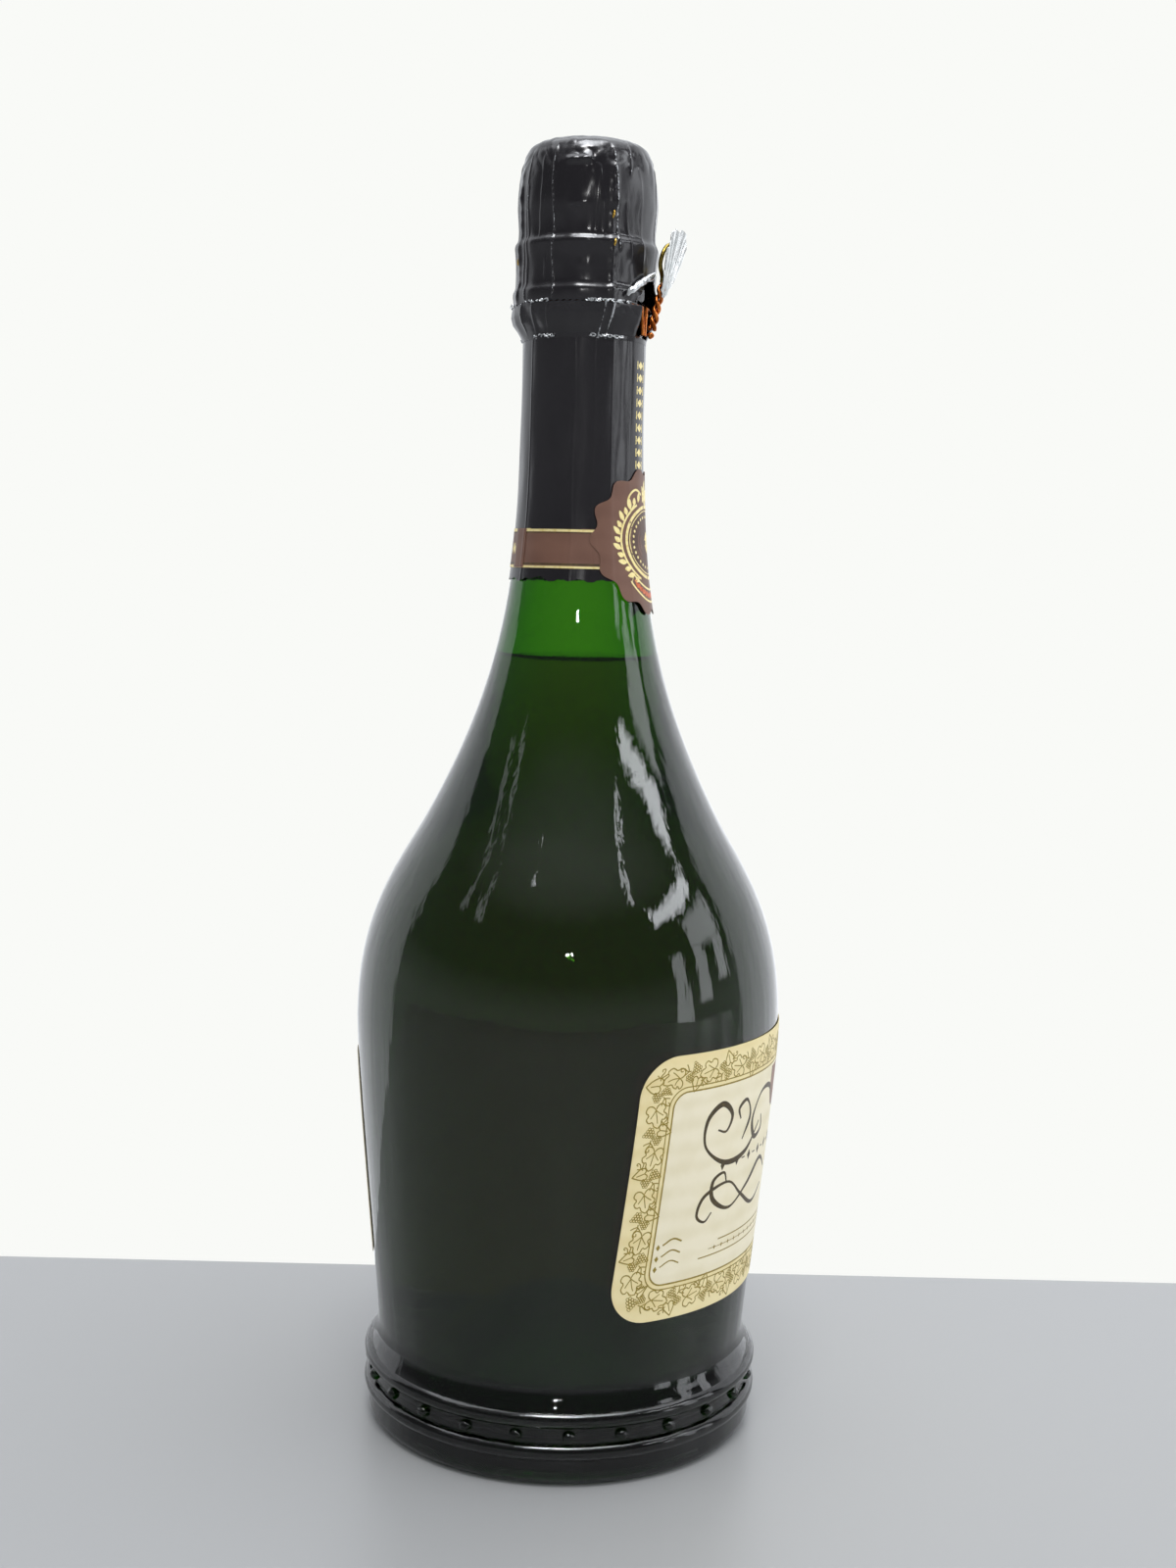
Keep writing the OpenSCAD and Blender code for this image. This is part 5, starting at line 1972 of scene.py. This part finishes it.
@dataclass
class PullLoop:
    """The loop that is untwisted to open the cage: knuckle at its root, twisted copper stem, bow painted a darker olive
    bronze as shade behind the scrap, torn scrap.
    """

    hinge_r: float = 16.1
    hinge_z: float = 251.0
    lean: float = 12.4
    root_d: float = 1.6
    wire_d: float = 1.0
    stem_start: float = 1.35
    stem_len: float = 11.6
    stem_pitch: float = 4.4
    loop_w: float = 8.6
    loop_len: float = 9.4
    scrap_w: float = 10.0
    scrap_len: float = 15.2
    scrap_y: float = 8.4
    # Scrap: share of its length, and its reach to the right and to the left as shares of half its width.
    scrap_shares: tuple[tuple[float, float, float], ...] = (
        (0, 0.08, 0.08), (0.06, 0.25, 0.3), (0.18, 0.48, 0.55), (0.32, 0.7, 0.78), (0.45, 0.85, 0.92),
        (0.6, 0.97, 1.0), (0.75, 1.0, 0.95), (0.9, 0.93, 0.84), (0.97, 0.8, 0.66), (1.0, 0.66, 0.5),
    )

    def place(self, local: Points) -> Points:
        """Moves points from the loop's own frame to the bottle's.

        Args:
            local: Across, up the stem and outwards.

        Returns:
            The points in millimetres.
        """
        lean = math.radians(self.lean)
        out, across = bearings(LOOP_TURN)
        up = math.cos(lean) * UP + math.sin(lean) * out
        away = math.cos(lean) * out - math.sin(lean) * UP
        origin = self.hinge_r * out + self.hinge_z * UP
        return origin + local[..., :1] * across + local[..., 1:2] * up + local[..., 2:] * away

    def build(self) -> None:
        """Makes the knuckle, the stem with its bow, and the scrap."""
        settle("stem_knuckle", self.knuckle(), Finish.COPPER_WIRE, "stem", "loop_wire", "stem_root")
        stem, bow = self.wires()
        settle("twisted_stem", stem, Finish.COPPER_WIRE, "loop", "loop_wire", "pull_loop")
        settle("loop_bow", bow, Finish.OLIVE_WIRE, "loop", "loop_wire")
        settle("creased_scrap", self.scrap(), Finish.SCRAP_FOIL, "loop", "bare_foil", "loop_scrap", sharp=35)

    def knuckle(self) -> Solid:
        """The bent root of the two wires: a small knot, rounded by its bend.

        Returns:
            The solid.
        """
        steps, sides = 16, 24
        a = np.linspace(0.06, math.pi - 0.06, steps)[:, None]
        b = (np.arange(sides) * 2 * math.pi / sides)[None, :]
        r = self.root_d / 2 * (0.93 + 0.07 * np.cos(2 * b + 3 * a))
        local = np.stack([r * np.sin(a) * np.cos(b), r * np.cos(a) * np.ones_like(b), r * np.sin(a) * np.sin(b)], -1)
        return tube(self.place(local))

    def wires(self) -> tuple[Solid, Solid]:
        """The two strands of the stem, and the bow that they open into.

        Returns:
            Both strands in one solid, and the bow.
        """
        offset = self.wire_d / 2 * 1.04
        t = np.linspace(0, 1, 60)
        turns = (self.stem_len - self.stem_start) / self.stem_pitch
        a = 2 * math.pi * turns * (t - 1)
        y = self.stem_start + (self.stem_len - self.stem_start) * t
        strand = np.stack([offset * np.cos(a), y, offset * np.sin(a)], 1)
        arc_r = self.loop_w / 2 - self.wire_d / 2
        arc_y = self.stem_len + self.loop_len - self.wire_d - arc_r
        side = bezier([offset, self.stem_len], [offset, self.stem_len + 2.4], [arc_r, arc_y - 2.4], [arc_r, arc_y], 16)
        bend = arc([0, arc_y], arc_r, 0, 90, 16)[1:]
        half = np.vstack([side, bend])
        whole = np.vstack([half, half[::-1][1:] * [-1, 1]])
        bow = np.column_stack([whole, np.zeros(len(whole))])
        thin = self.wire_d / 2 * 0.98
        strands = [wire(self.place(strand * [k, 1, k]), thin) for k in (1, -1)]
        return joined(strands), wire(self.place(bow), thin)

    def scrap(self) -> Solid:
        """The scrap of foil: leaf-shaped, creased along its middle and curled at its edges.

        Returns:
            The solid.
        """
        rows, columns = 60, 44
        share = np.linspace(0, 1, rows)[:, None]
        half = self.scrap_w / 2
        at, right, left = zip(*self.scrap_shares)
        right, left = np.interp(share, at, right) * half, -np.interp(share, at, left) * half
        ragged = 0.12 * np.sin(share * 41) + 0.1 * np.sin(share * 73 + 1)
        u = np.linspace(0, 1, columns)[None, :]
        x = left - ragged + (right + ragged * 0.7 - left + ragged) * u
        y = self.scrap_y + 0.15 + (self.scrap_len - 0.6) * share + 0.3 * share * np.sin(u * 11) + 0.4 * share * u
        fold = 0.5 * np.abs(x / half - 0.15 * np.sin(share * 4)) ** 1.3
        pleat = 0.55 * np.abs(np.sin(x * 1.5 / (0.35 + share) + share * 1.4)) * (0.5 + 0.5 * share)
        crumple = 0.03 * np.abs(np.sin(x * 3.1 - share * 9)) + 0.03 * np.sin(share * 17 + x)
        z = self.wire_d * 0.62 + 0.1 + fold + pleat + crumple
        outer = np.stack(np.broadcast_arrays(x, y, z), -1)
        return sheet(self.place(outer), self.place(outer - [0, 0, 0.09]))


# Studio


@dataclass
class Studio:
    """Plain pale floor and soft light, with the camera where the photograph was taken from."""

    camera_at: tuple[float, float, float] = (-0.43175, -0.08002, 0.1968)
    lens_mm: float = 43.63
    pitch: float = 0.107796
    yaw: float = 0.00764733
    roll: float = 0.0257692
    backdrop: str = "#f9faf7"
    floor_far_m: float = 0.087
    floor_wide_m: float = 1.2
    cool: str = "#f5f8fd"
    front: tuple[float, float, float] = (0.45, 0.16, 1.0)  # level, higher and overhead
    soft_light: float = 0.7
    soft_right: float = 0.95
    label_turn: float = 80.0
    # Light that only shiny surfaces see: level, sides and heights in degrees from the camera, softness of the edges.
    patches: tuple[tuple, ...] = (
        (1.4, (105, 185), (-90, 90), 2.0),
        (1.1, (-185, -106), (-90, 90), 2.0),
        (3.2, (75, 185), (48, 95), 3.0),
        (3.2, (-185, -75), (48, 95), 3.0),
        (9.0, (-30, 78), (60, 84), 4.0),
        (17.0, (-34, 28), (61, 85), 3.0),
        (3.0, (74, 98), (17, 28), 1.5),
        (3.0, (60, 68), (-8, 18), 1.0),
        (3.0, (75, 83), (0, 18), 1.0),
        (3.0, (90, 97), (4, 18), 1.0),
        (9.0, (54, 91), (31, 36), 1.2),
        (6.0, (44, 47), (40, 50), 0.8),
        (1.3, (-76, -72), (30, 44), 1.0),
        (1.6, (-64, -61), (30, 44), 1.0),
        (10.0, (-28.6, -27.4), (48.4, 49.6), 0.6),
    )

    def build(self) -> None:
        """Makes the camera, the world, the lamps and the floor."""
        scene = bpy.context.scene
        scene.view_settings.view_transform = "Standard"
        scene.camera = self.camera()
        scene.world = self.world()
        self.lamps()
        self.floor()

    def camera(self) -> Thing:
        """The camera, fitted to the bottle's outline in the photograph.

        Returns:
            The camera's object.
        """
        p, y, r = self.pitch, self.yaw, self.roll
        right = np.array([math.cos(y), -math.sin(y), 0])
        up = np.array([math.sin(p) * math.sin(y), math.sin(p) * math.cos(y), math.cos(p)])
        ahead = np.array([math.cos(p) * math.sin(y), math.cos(p) * math.cos(y), -math.sin(p)])
        x, up = math.cos(r) * right + math.sin(r) * up, -math.sin(r) * right + math.cos(r) * up
        axes = Matrix(np.stack([x, up, -ahead], 1).tolist())
        data = bpy.data.cameras.new("camera")
        data.lens = self.lens_mm
        data.clip_start, data.clip_end = 0.01, 20
        thing = bpy.data.objects.new("camera", data)
        turn = Matrix.Rotation(math.radians(CAMERA_TURN + 90), 3, "Z")
        thing.matrix_world = Matrix.Translation(Vector(self.camera_at)) @ (turn @ axes).to_4x4()
        bpy.context.scene.collection.objects.link(thing)
        return thing

    def world(self) -> bpy.types.World:
        """A white room to the eye and through glass. What shines sees a dark room in front, pale walls and a window.

        Returns:
            The world.
        """
        world = bpy.data.worlds.new("studio")
        world.use_nodes = True
        tree = world.node_tree
        tree.nodes.clear()
        way = add(tree, "TexCoord").outputs["Generated"]
        aside, ahead, right = (
            add(tree, "VectorMath", {"operation": "DOT_PRODUCT", 0: way, 1: bearings(turn)[0]}).outputs["Value"]
            for turn in (CAMERA_TURN + 90, CAMERA_TURN, CAMERA_TURN + self.label_turn)
        )
        side = add(tree, "Math", {"operation": "ARCTAN2", 0: aside, 1: ahead})
        side = add(tree, "Math", {"operation": "MULTIPLY", 0: side, 1: 180 / math.pi})
        height = add(tree, "SeparateXYZ", {"Vector": way}).outputs["Z"]
        height = add(tree, "Math", {"operation": "ARCSINE", 0: height})
        height = add(tree, "Math", {"operation": "MULTIPLY", 0: height, 1: 180 / math.pi})
        low, dim, high = self.front
        dark = add(tree, "MapRange", {**spread(0, 13, low, dim), "Value": height})
        over = add(tree, "MapRange", {**spread(36, 68, dim, high), "Value": height})
        shine = add(tree, "Math", {"operation": "MAXIMUM", 0: dark, 1: over})
        for level, sides, heights, soft in self.patches:
            patch = level
            for source, (start, end) in ((side, sides), (height, heights)):
                for edge, rise in ((start, (0, 1)), (end, (1, 0))):
                    mask = add(tree, "MapRange", {**spread(edge - soft, edge + soft, *rise), "Value": source})
                    patch = add(tree, "Math", {"operation": "MULTIPLY", 0: mask, 1: patch})
            shine = add(tree, "Math", {"operation": "MAXIMUM", 0: shine, 1: patch})
        rays = add(tree, "LightPath").outputs
        seen = {0: rays["Is Camera Ray"], 1: rays["Is Transmission Ray"]}
        white = add(tree, "Math", {"operation": "MAXIMUM", **seen})
        right = add(tree, "Math", {"operation": "MAXIMUM", 0: right, 1: 0})
        soft = add(tree, "Math", {"operation": "MULTIPLY_ADD", 0: right, 1: self.soft_right, 2: self.soft_light})
        lit = add(tree, "Mix", {"data_type": "FLOAT", 2: soft, 3: shine, "Factor": rays["Is Glossy Ray"]})
        strength = add(tree, "Mix", {"data_type": "FLOAT", 2: lit, 3: 1.0, "Factor": white})
        settings = {"data_type": "RGBA", 6: linear(self.cool), 7: linear(self.backdrop), "Factor": white}
        colour = add(tree, "Mix", settings).outputs[2]
        room = add(tree, "Background", {"Color": colour, "Strength": strength})
        add(tree, "OutputWorld", {"Surface": room})
        return world

    def lamp(self, name: str, turn: float, height: float, far: float, size: tuple[float, float], power: float) -> None:
        """Adds one soft lamp that faces the bottle.

        Args:
            name: Its name.
            turn: Its direction from the bottle's axis, in degrees to the right of the camera.
            height: Its elevation over the bottle's middle, in degrees.
            far: Its distance in metres.
            size: Its width and height in metres.
            power: Its power in watts.
        """
        data = bpy.data.lights.new(name, "AREA")
        data.shape, data.size, data.size_y, data.energy = "RECTANGLE", size[0], size[1], power
        thing = bpy.data.objects.new(name, data)
        a, e = math.radians(CAMERA_TURN + turn), math.radians(height)
        out = Vector((math.cos(a) * math.cos(e), math.sin(a) * math.cos(e), math.sin(e)))
        thing.location = out * far + Vector((0, 0, 0.15))
        thing.rotation_mode = "QUATERNION"
        thing.rotation_quaternion = out.to_track_quat("Z", "Y")
        bpy.context.scene.collection.objects.link(thing)

    def lamps(self) -> None:
        """The lamps: a wide one overhead in front, and a small one above the camera."""
        self.lamp("overhead", -4, 64, 0.9, (0.26, 0.14), 2.2)
        self.lamp("small_front", 0, 21.4, 0.9, (0.03, 0.014), 0.25)

    def floor(self) -> None:
        """The pale grey surface under the bottle, which ends a little behind it as in the photograph."""
        mesh = bpy.data.meshes.new("floor")
        far, wide = self.floor_far_m, self.floor_wide_m
        mesh.from_pydata([(-wide, -wide, 0), (far, -wide, 0), (far, wide, 0), (-wide, wide, 0)], [], [(0, 1, 2, 3)])
        mesh.materials.append(Finish.LAMINATE.material())
        thing = bpy.data.objects.new("floor", mesh)
        thing.rotation_euler = (0, 0, math.radians(CAMERA_TURN + 180))
        bpy.context.scene.collection.objects.link(thing)


def main() -> None:
    """Builds the dressed bottle and its studio."""
    logging.basicConfig(level=logging.INFO, format="%(name)s %(message)s")
    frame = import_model()
    bottle = Bottle()
    bottle.build()
    foil = Foil(bottle)
    foil.build()
    Labels(bottle).build()
    NeckDress(foil).build()
    cage = CorkAndCage()
    cage.dress(frame["nodes"])
    cage.build()
    PullLoop().build()
    Studio().build()


if __name__ == "__main__":
    main()
